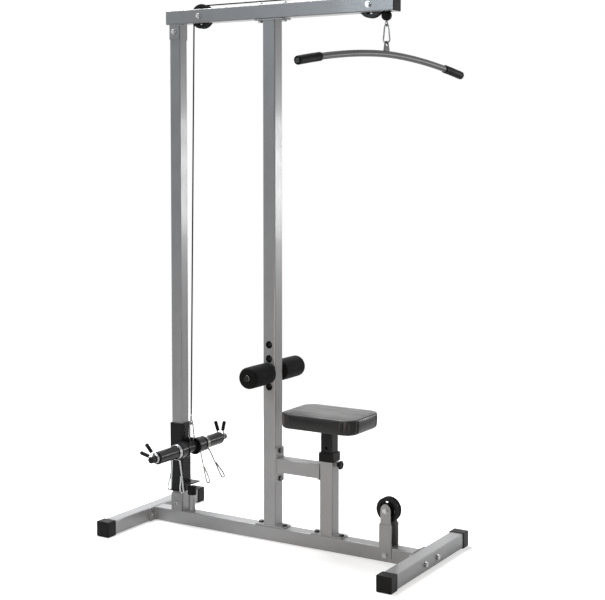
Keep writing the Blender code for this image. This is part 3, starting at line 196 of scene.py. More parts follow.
world = bpy.data.worlds.new("studio_world")
world.use_nodes = True
scene.world = world
sky = world.node_tree
sky_level = seen_rays(sky, 1.0, WORLD_FILL)
sky.nodes["Background"].inputs["Color"].default_value = WHITE
sky.links.new(sky_level, sky.nodes["Background"].inputs["Strength"])
print("world fill:", WORLD_FILL)

# %% [markdown]
# The floor takes the object's shadow, and turns into plain white away from it, so that no horizon
# shows. A backdrop picture would do that from one side only. A mix of two shaders by distance does
# it from every side.

# %% Floor
FLOOR_HALF = 14.0
FLOOR_GLOW = 0.56
FLOOR_NEAR = 1.3
FLOOR_FAR = 3.2
FLOOR_DARK = (0.63, 0.63, 0.63, 1)
FLOOR_LIGHT = (0.65, 0.65, 0.65, 1)
FLOOR_ROUGH = 0.9
FLOOR_SHEEN = 0.1
FLOOR_CLOUD = 1.5


def studio_floor():
    """A white floor that takes the object's shadow, and turns into plain white away from it."""
    material = bpy.data.materials.new("studio_floor")
    material.use_nodes = True
    tree = material.node_tree
    shader = tree.nodes["Principled BSDF"]
    place = add(tree, "ShaderNodeTexCoord").outputs["Object"]
    cloud = add(tree, "ShaderNodeTexNoise", {"Vector": place, "Scale": FLOOR_CLOUD}).outputs["Fac"]
    tint = mixed(tree, cloud, FLOOR_DARK, FLOOR_LIGHT)
    tree.links.new(tint, shader.inputs["Base Color"])
    shader.inputs["Roughness"].default_value = FLOOR_ROUGH
    shader.inputs["Specular IOR Level"].default_value = FLOOR_SHEEN
    shader.inputs["Emission Color"].default_value = WHITE
    tree.links.new(seen_rays(tree, FLOOR_GLOW), shader.inputs["Emission Strength"])
    plain = add(tree, "ShaderNodeEmission", {"Strength": seen_rays(tree, 1.0)})
    away = add(tree, "ShaderNodeVectorMath", {0: place}, operation="LENGTH").outputs["Value"]
    share = add(tree, "ShaderNodeMapRange", {"Value": away, 1: FLOOR_NEAR, 2: FLOOR_FAR})
    share.interpolation_type = "SMOOTHSTEP"
    both = add(tree, "ShaderNodeMixShader", {0: share.outputs[0], 1: shader.outputs[0]})
    tree.links.new(plain.outputs[0], both.inputs[2])
    tree.links.new(both.outputs[0], tree.nodes["Material Output"].inputs["Surface"])
    bm = bmesh.new()
    corners = [(-1, -1), (1, -1), (1, 1), (-1, 1)]
    bm.faces.new([bm.verts.new((x * FLOOR_HALF, y * FLOOR_HALF, 0)) for x, y in corners])
    mesh = bpy.data.meshes.new("studio_floor")
    bm.to_mesh(mesh)
    bm.free()
    mesh.materials.append(material)
    floor = bpy.data.objects.new("studio_floor", mesh)
    scene.collection.objects.link(floor)
    floor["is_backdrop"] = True


studio_floor()
print("floor in m:", 2 * FLOOR_HALF)

# %% [markdown]
# Soft lamps do the lighting: a large one above the rear, one far behind at the right that glances
# along the right-hand faces, a cool one at the front left, a warm one low at the front, a narrow
# one at the right for the edges and a wide, weak one behind that mirrors in the faces on top. A
# picture of a sky could light the object as well, but a lamp can be placed for one face at a time.

# %% Lamps
COOL = (0.80, 0.91, 1.0)
WARM = (1.0, 0.84, 0.70)
PLAIN = (1.0, 1.0, 1.0)


def soft_lamp(name, place, target, wide, tall, watts, tint):
    """A large rectangular lamp that points at the target."""
    data = bpy.data.lights.new(name, "AREA")
    data.shape = "RECTANGLE"
    data.size = wide
    data.size_y = tall
    data.energy = watts
    data.color = tint
    lamp = bpy.data.objects.new(name, data)
    lamp.location = place
    lamp.rotation_euler = (Vector(target) - Vector(place)).to_track_quat("-Z", "Y").to_euler()
    scene.collection.objects.link(lamp)


soft_lamp("above_rear", (-1.6, 0.6, 4.0), (-0.3, 0, 0.4), 2.2, 2.2, 325, PLAIN)
soft_lamp("right_rear", (2.9, 4.3, 1.3), (0, 0, 1.2), 1.2, 0.95, 63, PLAIN)
soft_lamp("front_left", (-1.2, -4.1, 2.8), (0.4, 0, 1.9), 1.5, 0.9, 60, COOL)
soft_lamp("front_low", (0.6, -1.5, 0.5), (0.25, 0, 0.25), 0.8, 0.6, 10, WARM)
soft_lamp("edge_strip", (4.4, -1.6, 2.9), (0, 0, 1.7), 0.5, 1.2, 10, COOL)
soft_lamp("back_glow", (-2.6, 4.1, 1.5), (0, 0, 0.4), 2.6, 0.8, 6, PLAIN)
print("lamps:", len(bpy.data.lights))

# %% [markdown]
# ## Patterns that the materials share
# Real surfaces are never one flat colour. Photographs of surfaces could be laid over the pieces,
# but they stretch and repeat, so each pattern here is worked out from the place on the piece. It
# is a node group that is built once. All of them give the same three values, so one function can
# make every material: Shade mixes two colours, Gloss swings the roughness and Height drives the
# bump. Size is the width of one feature in metres.

# %% Pattern groups
FEATURE_SIZE = 0.001


def pattern(name):
    """A new node group with Size in and the three shared values out, its place and 1 / Size."""
    tree = bpy.data.node_groups.new(name, "ShaderNodeTree")
    size = tree.interface.new_socket(name="Size", in_out="INPUT", socket_type="NodeSocketFloat")
    size.default_value = FEATURE_SIZE
    for label in ("Shade", "Gloss", "Height"):
        tree.interface.new_socket(name=label, in_out="OUTPUT", socket_type="NodeSocketFloat")
    given = tree.nodes.new("NodeGroupInput")
    place = add(tree, "ShaderNodeTexCoord").outputs["Object"]
    inputs = {0: 1.0, 1: given.outputs["Size"]}
    per_metre = add(tree, "ShaderNodeMath", inputs, operation="DIVIDE").outputs[0]
    return tree, place, per_metre


def give(tree, shade, gloss, height):
    """Ends a pattern group by linking its three values out."""
    out = tree.nodes.new("NodeGroupOutput")
    tree.links.new(shade, out.inputs["Shade"])
    tree.links.new(gloss, out.inputs["Gloss"])
    tree.links.new(height, out.inputs["Height"])


def noise(tree, place, scale, detail=2.0):
    inputs = {"Vector": place, "Scale": scale, "Detail": detail}
    return add(tree, "ShaderNodeTexNoise", inputs).outputs["Fac"]


def cells(tree, place, scale, feature="F1"):
    inputs = {"Vector": place, "Scale": scale}
    return add(tree, "ShaderNodeTexVoronoi", inputs, feature=feature)


def lengthened(tree, place, shares):
    """Coordinates squeezed on some axes, so that a pattern runs along the others."""
    inputs = {0: place, 1: shares}
    return add(tree, "ShaderNodeVectorMath", inputs, operation="MULTIPLY").outputs[0]


print("pattern helpers ready")

# %% [markdown]
# Silver paint holds flakes that catch the light one by one, under a skin like orange peel. Moulded
# plastic and powder coat have a fine pebbled skin. Cells with a random value give the flakes, and
# cells with a soft distance give the pebbles; plain noise would look cloudy in both places.


# %% Paint and moulded skins
def sprayed_coat():
    """Metallic paint: tiny flakes of random brightness, orange peel and broad clouds."""
    tree, place, per_metre = pattern("sprayed_coat")
    flake = cells(tree, place, per_metre).outputs["Color"]
    flake = add(tree, "ShaderNodeSeparateColor", {"Color": flake}).outputs["Red"]
    cloud = noise(tree, place, 7.0, 3.0)
    peel = noise(tree, place, 420.0)
    shade = sum_of(tree, [(flake, 0.55), (cloud, 0.45)])
    give(tree, shade, cloud, sum_of(tree, [(peel, 0.8), (flake, 0.2)]))
    return tree


def moulded_grain():
    """Moulded plastic or powder coat: a fine pebbled skin, with scuffs that change its gloss."""
    tree, place, per_metre = pattern("moulded_grain")
    pebble = cells(tree, place, per_metre, "SMOOTH_F1").outputs["Distance"]
    cloud = noise(tree, place, 22.0, 4.0)
    scuff = stretched(tree, noise(tree, lengthened(tree, place, (1, 1, 9)), 60.0, 3.0), 0.5, 0.72)
    shade = sum_of(tree, [(cloud, 0.5), (pebble, 0.35), (scuff, 0.15)])
    give(tree, shade, sum_of(tree, [(cloud, 0.6), (scuff, 0.4)]), pebble)
    return tree


print("paint and plastic patterns ready")

# %% [markdown]
# Vinyl is pressed with a hide grain: small cells with valleys between them, which is what the
# distance to a cell's edge gives. Foam has open pores instead, so there the middle of a cell is
# the deep place.


# %% Vinyl and foam
def hide_grain():
    """Vinyl: pressed cells with soft valleys between them, and faint long creases."""
    tree, place, per_metre = pattern("hide_grain")
    bent = noise(tree, place, 90.0, 2.0)
    edge = cells(tree, place, per_metre, "DISTANCE_TO_EDGE").outputs["Distance"]
    valley = stretched(tree, edge, 0.0, 0.22)
    crease = stretched(tree, noise(tree, lengthened(tree, place, (1, 5, 3)), 11.0, 5.0), 0.35, 0.65)
    shade = sum_of(tree, [(valley, 0.45), (crease, 0.35), (bent, 0.2)])
    gloss = sum_of(tree, [(crease, 0.6), (bent, 0.4)])
    give(tree, shade, gloss, sum_of(tree, [(valley, 0.7), (crease, 0.3)]))
    return tree


def foam_cells():
    """Foam: open pores of uneven size in a matt skin."""
    tree, place, per_metre = pattern("foam_cells")
    pore = stretched(tree, cells(tree, place, per_metre).outputs["Distance"], 0.05, 0.5)
    lump = noise(tree, place, 130.0, 3.0)
    cloud = noise(tree, place, 16.0, 3.0)
    shade = sum_of(tree, [(pore, 0.45), (cloud, 0.55)])
    gloss = sum_of(tree, [(cloud, 0.7), (lump, 0.3)])
    give(tree, shade, gloss, sum_of(tree, [(pore, 0.6), (lump, 0.4)]))
    return tree


print("vinyl and foam patterns ready")

# %% [markdown]
# Drawn steel has fine lines along the bar and plywood has long fibres. Both are noise on
# coordinates that are squeezed along one axis, which is simpler than a wave that has to be bent.


# %% Steel and plywood
def drawn_metal():
    """Drawn or plated steel: fine lines along the bar and a slow change in brightness."""
    tree, place, per_metre = pattern("drawn_metal")
    line = noise(tree, lengthened(tree, place, (1, 0.02, 1)), per_metre, 2.0)
    cloud = noise(tree, place, 35.0, 3.0)
    speck = stretched(tree, noise(tree, place, 900.0, 1.0), 0.58, 0.7)
    shade = sum_of(tree, [(line, 0.4), (cloud, 0.45), (speck, 0.15)])
    gloss = sum_of(tree, [(cloud, 0.7), (line, 0.3)])
    give(tree, shade, gloss, sum_of(tree, [(line, 0.7), (speck, 0.3)]))
    return tree


def wood_plies():
    """Plywood: bands of grain along the board, broken by fine fibres."""
    tree, place, per_metre = pattern("wood_plies")
    long = lengthened(tree, place, (0.12, 1, 1))
    band = noise(tree, long, per_metre, 4.0)
    fibre = noise(tree, lengthened(tree, place, (0.03, 1, 1)), 1500.0, 2.0)
    shade = sum_of(tree, [(band, 0.7), (fibre, 0.3)])
    give(tree, shade, band, sum_of(tree, [(fibre, 0.7), (band, 0.3)]))
    return tree


PATTERNS = {}
for make_pattern in (sprayed_coat, moulded_grain, hide_grain, foam_cells, drawn_metal, wood_plies):
    PATTERNS[make_pattern.__name__] = make_pattern()
print("pattern groups:", ", ".join(PATTERNS))

# %% [markdown]
# Dust lies on what faces up. It could be painted on by hand, but the direction of the surface
# already says where it settles, and noise breaks it into patches. On the seat's vinyl the same
# layer, laid on thickly, is also a painted sheen that lightens the top.


# %% Dust and painted sheen
def settled_dust_and_sheen():
    """Fine dust on what faces up, in uneven patches; thick on the seat, a painted sheen."""
    tree = bpy.data.node_groups.new("settled_dust_and_sheen", "ShaderNodeTree")
    tree.interface.new_socket(name="Dust", in_out="OUTPUT", socket_type="NodeSocketFloat")
    normal = add(tree, "ShaderNodeNewGeometry").outputs["Normal"]
    up = add(tree, "ShaderNodeSeparateXYZ", {0: normal}).outputs["Z"]
    upward = stretched(tree, up, 0.35, 1.0)
    place = add(tree, "ShaderNodeTexCoord").outputs["Object"]
    patch = stretched(tree, noise(tree, place, 28.0, 5.0), 0.38, 0.7, 0.5, 1.0)
    out = tree.nodes.new("NodeGroupOutput")
    dust_and_sheen = add(tree, "ShaderNodeMath", {0: upward, 1: patch}, operation="MULTIPLY").outputs[0]
    tree.links.new(dust_and_sheen, out.inputs["Dust"])
    return tree


DUST_AND_SHEEN = settled_dust_and_sheen()
print("dust group:", DUST_AND_SHEEN.name)

# %% [markdown]
# ## Materials
# One function turns a pattern into a material, so that all of them are built alike and differ only
# in numbers. It takes the two colours that Shade mixes, the middle roughness and how far Gloss
# swings it, and the depth of the relief in metres. What is the same all over, such as metalness or
# a clear coat, is set straight on the shader.

# %% One function for all materials
# The colour of dust, and of the painted sheen on the seat's top.
DUST_AND_SHEEN_COLOUR = (0.42, 0.41, 0.40, 1)
DUST_DULLS = 0.5
PATTERN_LOW = 0.25
PATTERN_HIGH = 0.75


def surface(name, pattern_name, size, dark, light, rough, swing, relief, dust_and_sheen=0.0, **fixed):
    """A procedural material. fixed holds shader inputs that are the same all over."""
    material = bpy.data.materials.new(name)
    material.use_nodes = True
    tree = material.node_tree
    shader = tree.nodes["Principled BSDF"]
    grain = add(tree, "ShaderNodeGroup", node_tree=PATTERNS[pattern_name])
    grain.inputs["Size"].default_value = size
    shade = stretched(tree, grain.outputs["Shade"], PATTERN_LOW, PATTERN_HIGH)
    colour = mixed(tree, shade, (*dark, 1), (*light, 1))
    gloss = grain.outputs["Gloss"]
    gloss = stretched(tree, gloss, PATTERN_LOW, PATTERN_HIGH, rough - swing, rough + swing)
    # The dust layer on what faces up. On the seat's vinyl it is also a painted sheen on the top.
    if dust_and_sheen:
        layer = add(tree, "ShaderNodeGroup", node_tree=DUST_AND_SHEEN).outputs["Dust"]
        veil = sum_of(tree, [(layer, dust_and_sheen)])
        colour = mixed(tree, veil, colour, DUST_AND_SHEEN_COLOUR)
        gloss = sum_of(tree, [(gloss, 1.0), (veil, DUST_DULLS)])
    tree.links.new(colour, shader.inputs["Base Color"])
    tree.links.new(gloss, shader.inputs["Roughness"])
    bump = add(tree, "ShaderNodeBump", {"Height": grain.outputs["Height"], "Distance": relief})
    tree.links.new(bump.outputs["Normal"], shader.inputs["Normal"])
    for key, value in fixed.items():
        shader.inputs[key.replace("_", " ")].default_value = value
    return material


print("dust colour:", DUST_AND_SHEEN_COLOUR)

# %% [markdown]
# The frame is sprayed silver under a thin clear coat: partly metal, so that it darkens where it
# mirrors nothing. The plastics are all nearly black and differ in gloss: caps, sleeves, pulleys
# and the rubber of the grips.

# %% Paint, plastics and rubber
PAINT = surface(
    "silver_paint", "sprayed_coat", 0.0006, (0.200, 0.203, 0.209), (0.275, 0.277, 0.282),
    0.36, 0.06, 0.00003, dust_and_sheen=0.05, Metallic=0.18, Specular_IOR_Level=0.35,
    Coat_Weight=0.16, Coat_Roughness=0.08,
)
BLACK_STEEL = surface(
    "black_coated_steel", "moulded_grain", 0.0009, (0.004, 0.004, 0.0045), (0.010, 0.010, 0.0105),
    0.36, 0.10, 0.00005, dust_and_sheen=0.012, Specular_IOR_Level=0.12,
)
PLASTIC = surface(
    "moulded_plastic", "moulded_grain", 0.0007, (0.003, 0.003, 0.003), (0.007, 0.007, 0.007),
    0.42, 0.10, 0.00004, dust_and_sheen=0.010, Specular_IOR_Level=0.09,
)
SLEEVE_PLASTIC = surface(
    "sleeve_plastic", "moulded_grain", 0.0008, (0.010, 0.010, 0.011), (0.022, 0.022, 0.023),
    0.36, 0.10, 0.00004, dust_and_sheen=0.02, Specular_IOR_Level=0.16,
)
PLUG_PLASTIC = surface(
    "plug_plastic", "moulded_grain", 0.0008, (0.050, 0.050, 0.052), (0.085, 0.085, 0.087),
    0.40, 0.08, 0.00004, Specular_IOR_Level=0.25,
)
NYLON = surface(
    "pulley_nylon", "moulded_grain", 0.0006, (0.004, 0.004, 0.0045), (0.010, 0.010, 0.0105),
    0.34, 0.08, 0.00002, dust_and_sheen=0.015, Specular_IOR_Level=0.12,
)
RUBBER = surface(
    "grip_rubber", "moulded_grain", 0.0012, (0.004, 0.004, 0.004), (0.009, 0.009, 0.009),
    0.55, 0.10, 0.00008, dust_and_sheen=0.012, Specular_IOR_Level=0.08,
)
print("paint and plastics:", len(bpy.data.materials))

# %% [markdown]
# Foam is matt, because its pores trap light. The seat's vinyl is as dark, but smooth enough to
# mirror the bright room at a low angle, which makes its top look grey. Its thick dust layer is
# also a painted sheen, which lightens the top further.

# %% Foam and vinyl
FOAM = surface(
    "roller_foam", "foam_cells", 0.0016, (0.003, 0.003, 0.003), (0.007, 0.007, 0.007),
    0.66, 0.10, 0.00020, dust_and_sheen=0.008, Specular_IOR_Level=0.05,
)
# Its thick dust layer is partly a painted sheen that lightens the top.
VINYL = surface(
    "seat_vinyl", "hide_grain", 0.0016, (0.0030, 0.0030, 0.0028), (0.0058, 0.0058, 0.0054),
    0.31, 0.04, 0.00006, dust_and_sheen=0.12, Specular_IOR_Level=0.24,
)
print("soft materials:", FOAM.name, VINYL.name)

# %% [markdown]
# Chrome, zinc and hook steel are full metals: their colour is the colour of what they mirror, so
# they are told apart by tint and roughness. The lat bar is painted steel. The cable has a plastic
# jacket, and the seat board is bare plywood.

# %% Metals, jacket and wood
CHROME = surface(
    "bright_chrome", "drawn_metal", 0.0008, (0.28, 0.285, 0.29), (0.42, 0.425, 0.43),
    0.16, 0.05, 0.000004, Metallic=1.0,
)
ZINC = surface(
    "zinc_plate", "drawn_metal", 0.0008, (0.28, 0.28, 0.285), (0.43, 0.43, 0.43),
    0.24, 0.07, 0.000006, Metallic=1.0,
)
# A darker copy of the zinc, as painted shade, for the bolts low on the frame.
SHADED_ZINC = surface(
    "shaded_zinc", "drawn_metal", 0.0008, (0.050, 0.050, 0.053), (0.105, 0.105, 0.107),
    0.30, 0.08, 0.000006, Metallic=1.0,
)
HOOK_STEEL = surface(
    "hook_steel", "drawn_metal", 0.0008, (0.15, 0.152, 0.15), (0.25, 0.252, 0.25),
    0.22, 0.06, 0.000005, Metallic=1.0,
)
BAR_STEEL = surface(
    "bar_steel", "sprayed_coat", 0.0005, (0.070, 0.070, 0.072), (0.105, 0.105, 0.107),
    0.42, 0.04, 0.00001, Metallic=0.6,
)
JACKET = surface(
    "cable_jacket", "moulded_grain", 0.0010, (0.004, 0.004, 0.005), (0.010, 0.010, 0.011),
    0.42, 0.08, 0.00004, Specular_IOR_Level=0.10,
)
WOOD = surface(
    "plywood", "wood_plies", 0.012, (0.24, 0.15, 0.08), (0.42, 0.29, 0.17),
    0.62, 0.08, 0.00010,
)
print("materials:", len(bpy.data.materials))

# %% [markdown]
# ## Mesh helpers
# Most pieces here are turned on a lathe, bent from round wire, or lofted from a row of outlines.
# Blender's own cubes and cylinders with bevels would do for some of them, but an outline says more
# in fewer lines. Its corners are rounded in the outline itself, so that every edge catches light
# as a real one does.

# %% Outlines
AXES = {"X": (1, 2, 0), "Y": (0, 2, 1), "Z": (0, 1, 2)}
CORNER_SHARE = 0.49


def place(axis, centre, u, v, along):
    """A point at u, v across the axis and along it from the centre."""
    spot = list(centre)
    for index, value in zip(AXES[axis], (u, v, along)):
        spot[index] += value
    return Vector(spot)


def turns(count):
    return [2 * math.pi * i / count for i in range(count)]


def rounded(outline, radius, steps=4, loop=True):
    """An outline of pairs with its corners curved, each by at most the radius."""
    points = [Vector(p) for p in outline]
    made = []
    for i, corner in enumerate(points):
        if not loop and i in (0, len(points) - 1):
            made.append(corner)
            continue
        before = points[i - 1] - corner
        after = points[(i + 1) % len(points)] - corner
        reach = min(radius, CORNER_SHARE * before.length, CORNER_SHARE * after.length)
        first = corner + before.normalized() * reach
        last = corner + after.normalized() * reach
        for step in range(steps + 1):
            t = step / steps
            made.append((1 - t) ** 2 * first + 2 * t * (1 - t) * corner + t * t * last)
    return [tuple(p) for p in made]


print("outline helpers ready")

# %% [markdown]
# Three helpers put faces on outlines, each into a bmesh, so that one piece can join several of
# them: loft goes through a row of rings, spin turns an outline about an axis, and sweep carries a
# circle along a path. Modifiers for these exist, but they would have to be applied to join shapes.


# %% Loft, spin and sweep
def loft(bm, rings, loop=False):
    """Faces through a row of rings. A ring of one point closes the row to a tip."""
    made = [[bm.verts.new(point) for point in ring] for ring in rings]
    pairs = list(zip(made, made[1:]))
    if loop:
        pairs.append((made[-1], made[0]))
    for low, high in pairs:
        count = max(len(low), len(high))
        for i in range(count):
            j = (i + 1) % count
            corners = [low[i % len(low)], low[j % len(low)]]
            corners += [high[j % len(high)], high[i % len(high)]]
            bm.faces.new(list(dict.fromkeys(corners)))
    if not loop:
        for ring in (made[0], made[-1]):
            if len(ring) > 2:
                bm.faces.new(ring)


def spin(bm, axis, centre, outline, count=64, shape=None, loop=False):
    """A turned shape from pairs of radius and place along. shape may change a radius by angle."""
    rings = []
    for radius, along in outline:
        if radius == 0:
            rings.append([place(axis, centre, 0, 0, along)])
            continue
        ring = []
        for angle in turns(count):
            reach = shape(angle, radius, along) if shape else radius
            u, v = reach * math.cos(angle), reach * math.sin(angle)
            ring.append(place(axis, centre, u, v, along))
        rings.append(ring)
    loft(bm, rings, loop)


def sweep(bm, path, radius, sides=14, loop=False):
    """Round wire along a path. radius is one number, or one for each point."""
    path = [Vector(point) for point in path]
    radii = radius if isinstance(radius, list) else [radius] * len(path)
    normal = None
    rings = []
    for i, point in enumerate(path):
        before = path[i - 1] if i or loop else point
        after = path[(i + 1) % len(path)] if i < len(path) - 1 or loop else point
        way = (after - before).normalized()
        if normal is None:
            normal = way.orthogonal()
        normal = (normal - way * normal.dot(way)).normalized()
        across = way.cross(normal)
        circle = [math.cos(a) * normal + math.sin(a) * across for a in turns(sides)]
        rings.append([point + radii[i] * out for out in circle])
    loft(bm, rings, loop)


def square_ring(half_u, half_v, corner, steps=6):
    """The outline of a square tube as pairs, with true round corners."""
    made = []
    for k, (su, sv) in enumerate(((1, 1), (-1, 1), (-1, -1), (1, -1))):
        for step in range(steps + 1):
            angle = math.pi / 2 * (k + step / steps)
            u = su * (half_u - corner) + corner * math.cos(angle)
            made.append((u, sv * (half_v - corner) + corner * math.sin(angle)))
    return made


print("face helpers ready")

# %% [markdown]
# A bmesh becomes a finished piece in one place: shaded smooth up to an angle, given its material,
# tied to the body it rides on and to the CAD nodes it stands for. Kept CAD pieces get their soft
# edges from modifiers, because their meshes may not change.

# %% Finished pieces
JOIN_REACH = 0.00001
FLAT_ANGLE = 0.5


def even_normals(piece):
    piece.modifiers.new("even_normals", "WEIGHTED_NORMAL").keep_sharp = True


def piece_of(bm, name, material, body=None, stands_for=(), sharp=40):
    """The bmesh as a finished object: shaded, riding on its body and standing for CAD nodes."""
    bmesh.ops.recalc_face_normals(bm, faces=bm.faces)
    mesh = bpy.data.meshes.new(name)
    bm.to_mesh(mesh)
    bm.free()
    mesh.materials.append(material)
    mesh.shade_smooth()
    mesh.set_sharp_from_angle(angle=math.radians(sharp))
    piece = bpy.data.objects.new(name, mesh)
    scene.collection.objects.link(piece)
    even_normals(piece)
    if body:
        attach(piece, body)
    if stands_for:
        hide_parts(*stands_for)
    return piece


def soften(piece, width, segments=3, angle=28):
    """Rounded edges on a piece of flat faces: join points, clear flat seams, bevel, even out."""
    piece.modifiers.new("join_points", "WELD").merge_threshold = JOIN_REACH
    flat = piece.modifiers.new("clear_flat_seams", "DECIMATE")
    flat.decimate_type = "DISSOLVE"
    flat.angle_limit = math.radians(FLAT_ANGLE)
    bevel = piece.modifiers.new("round_edges", "BEVEL")
    bevel.width = width
    bevel.segments = segments
    bevel.limit_method = "ANGLE"
    bevel.angle_limit = math.radians(angle)
    even_normals(piece)


print("piece helpers ready")

# %% [markdown]
# ## Welded frame
# The tubes, plates and brackets of the frame are already right in the CAD model, down to their
# holes and slots. Made again, every hole would have to be kept in step by hand. So they stay, and
# a modifier stack rounds their edges: points are joined, flat seams are cleared so that the bevel
# sees clean faces, and the edges are beveled. The CAD mesh itself never changes.

# %% Welded frame
FRAME_STEEL = (
    "base_rail", "rear_foot_tube", "front_foot_tube", "guide_upright", "main_upright",
    "top_beam", "low_pulley_post", "seat_post", "seat_brace",
)
BLACK_PIECES = ("carriage_sleeve", "weight_bar_hub", "seat_inner_post")
MOULDED_PIECES = ("beam_plug", "seat_post_collar", "carriage_liner")
KEPT = (
    (FRAME_STEEL, PAINT, 0.0008), (BLACK_PIECES, BLACK_STEEL, 0.0007),
    (MOULDED_PIECES, PLASTIC, 0.0007), (("seat_board",), WOOD, 0.0010),
)


def keep(name, material, width):
    """A CAD node that stays, with rounded edges and a better material."""
    node = nodes[name]
    node.data.materials.clear()
    node.data.materials.append(material)
    soften(node, width)


for names, material, edge_width in KEPT:
    for name in names:
        keep(name, material, edge_width)
print("CAD nodes kept:", sum(len(names) for names, _, _ in KEPT))

# %% [markdown]
# ## Weld beads
# Where a tube meets its flange, a real frame has a weld bead under the paint. Bump could draw it,
# but only on a face, and a bead lies in a corner between two. A thin wire swept round the joint,
# with a radius that swells and shrinks as the welder's hand did, shows it.

# %% Weld beads
GAP = 0.0003
TUBE_HALF = 0.027
TUBE_CORNER = 0.004
FLANGE_WALL = 0.005
MAIN_X = -0.032
SEAT_X = 0.218
RAIL_Z = 0.030
RAIL_TOP = 0.057
RAIL_END = 0.5857
BEAM_BOTTOM = 1.989
BRACE_Z = 0.2982
BRACE_END_WALL = 0.008
BEAD_R = 0.0022
BEAD_STEP = 0.0016
BEAD_SWELL = 0.14
RIPPLE = 4


def even_path(points, step):
    """A closed outline with points about one step apart."""
    made = []
    for first, last in zip(points, points[1:] + points[:1]):
        parts = max(1, round((last - first).length / step))
        made += [first.lerp(last, i / parts) for i in range(parts)]
    return made


def weld_bead(name, axis, centre):
    outline = square_ring(TUBE_HALF, TUBE_HALF, TUBE_CORNER, 3)
    path = even_path([place(axis, centre, u, v, 0) for u, v in outline], BEAD_STEP)
    waves = [math.sin(2 * math.pi * i / RIPPLE) for i in range(len(path))]
    bm = bmesh.new()
    sweep(bm, path, [BEAD_R * (1 + BEAD_SWELL * wave) for wave in waves], 8, loop=True)
    piece_of(bm, name, PAINT, "frame", sharp=80)


flange_top = RAIL_TOP + GAP + FLANGE_WALL
under_beam = BEAM_BOTTOM - GAP - FLANGE_WALL
brace_flange = MAIN_X + TUBE_HALF + GAP + FLANGE_WALL
brace_end = SEAT_X - TUBE_HALF - GAP - BRACE_END_WALL
rail_flange = RAIL_END - FLANGE_WALL
WELDS = (
    ("main_upright_foot_weld", "Z", (MAIN_X, 0, flange_top)),
    ("main_upright_head_weld", "Z", (MAIN_X, 0, under_beam)),
    ("seat_post_foot_weld", "Z", (SEAT_X, 0, flange_top)),
    ("brace_rear_weld", "X", (brace_flange, 0, BRACE_Z)),
    ("brace_front_weld", "X", (brace_end, 0, BRACE_Z)),
    ("rail_rear_weld", "X", (-rail_flange, 0, RAIL_Z)),
    ("rail_front_weld", "X", (rail_flange, 0, RAIL_Z)),
)
for name, axis, centre in WELDS:
    weld_bead(name, axis, centre)
print("weld beads:", len(WELDS))

# %% [markdown]
# ## Foot caps and plugs
# Each foot ends in a moulded cap that slips over the tube and stands on the floor. A beveled box
# would give the outside, but not the lip and the groove behind it. So it is lofted from square
# outlines with round corners: up the inside, over the lip, along the outside and in over a
# slightly crowned end. Each level is how far its outline is set in, and its depth.

# %% Foot caps
CAP_WALL = 0.003
CAP_CORNER = 0.0045
CAP_LEAST_CORNER = 0.0004
CAP_EDGE = 0.0020
CAP_CROWN = 0.0006
CAP_CROWN_LAST = 0.0001
CAP_CROWN_RINGS = (0.4, 0.8)
CAP_INSIDE = GAP - CAP_WALL
CAP_LIP = (
    (CAP_INSIDE, 0.010), (CAP_INSIDE, 0.0006), (CAP_INSIDE + 0.0006, 0),
    (-0.0012, 0), (-0.0003, 0.0004), (0, 0.0012),
    (0, 0.0062), (-0.0006, 0.0070), (-0.0006, 0.0074), (0, 0.0082),
)
SIDES = ((-1, "left"), (1, "right"))


def reach_across(node):
    """Where a CAD node on one side starts and ends, measured from the middle plane."""
    low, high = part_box(node)
    return sorted((abs(low.y), abs(high.y)))


def foot_cap(node, name, side):
    low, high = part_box(node)
    half = (high.x - low.x) / 2
    tall = (high.z - low.z) / 2
    centre = ((low.x + high.x) / 2, 0, (low.z + high.z) / 2)
    mouth, end = reach_across(node)
    levels = [(inset, mouth + along) for inset, along in CAP_LIP]
    for step in range(5):
        angle = math.pi / 2 * step / 4
        along = end - CAP_EDGE * (1 - math.sin(angle)) - CAP_CROWN
        levels.append((-CAP_EDGE * (1 - math.cos(angle)), along))
    outer_ring, inner_ring = CAP_CROWN_RINGS
    levels += [(-half * outer_ring, end - CAP_CROWN_LAST), (-half * inner_ring, end)]
    rings = []
    for inset, along in levels:
        corner = max(CAP_LEAST_CORNER, min(CAP_CORNER + inset, half + inset))
        ring = square_ring(half + inset, tall + inset, corner)
        rings.append([place("Y", centre, u, v, side * along) for u, v in ring])
    bm = bmesh.new()
    loft(bm, rings)
    piece_of(bm, name, PLASTIC, "frame", [node], sharp=60)


for end in ("rear", "front"):
    for side, side_name in SIDES:
        foot_cap(f"{end}_cap_{side_name}", f"{end}_foot_end_cap_{side_name}", side)
print("foot caps: 4")

# %% [markdown]
# The rear end of the top beam is closed by a plain plug too, seen only from behind. It is lofted
# as the caps are, with fewer levels, because only its face and its rim show.

# %% Rear plug of the beam
PLUG_LEAST_CORNER = 0.002
PLUG_LEVELS = (
    (-0.0023, 0.012), (-0.0023, 0.0), (-0.0004, 0.0),
    (0.0, -0.0008), (-0.0010, -0.0022), (-0.006, -0.0026),
)
beam_low, beam_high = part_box("top_beam")
BEAM_TOP = beam_high.z
BEAM_Z = BEAM_TOP - TUBE_HALF
rings = []
for inset, along in PLUG_LEVELS:
    corner = TUBE_CORNER + inset
    if corner < 0:
        corner = PLUG_LEAST_CORNER
    ring = square_ring(TUBE_HALF + inset, TUBE_HALF + inset, corner)
    rings.append([place("X", (beam_low.x, 0, BEAM_Z), u, v, along) for u, v in ring])
bm = bmesh.new()
loft(bm, rings)
piece_of(bm, "beam_rear_plug", PLASTIC, "frame", sharp=60)
print("plugs: 1")

# %% [markdown]
# ## Bolts
# A hex head could be a cylinder with six sides, but that has no chamfer. Here it is a turned shape
# that is held inside a hexagon: the radius at each angle is the smaller of the round outline and
# the hexagon, so the chamfer's scalloped edge comes by itself. The end of the thread is a row of
# ridges, and not a true helix, which can't be told apart at this size.

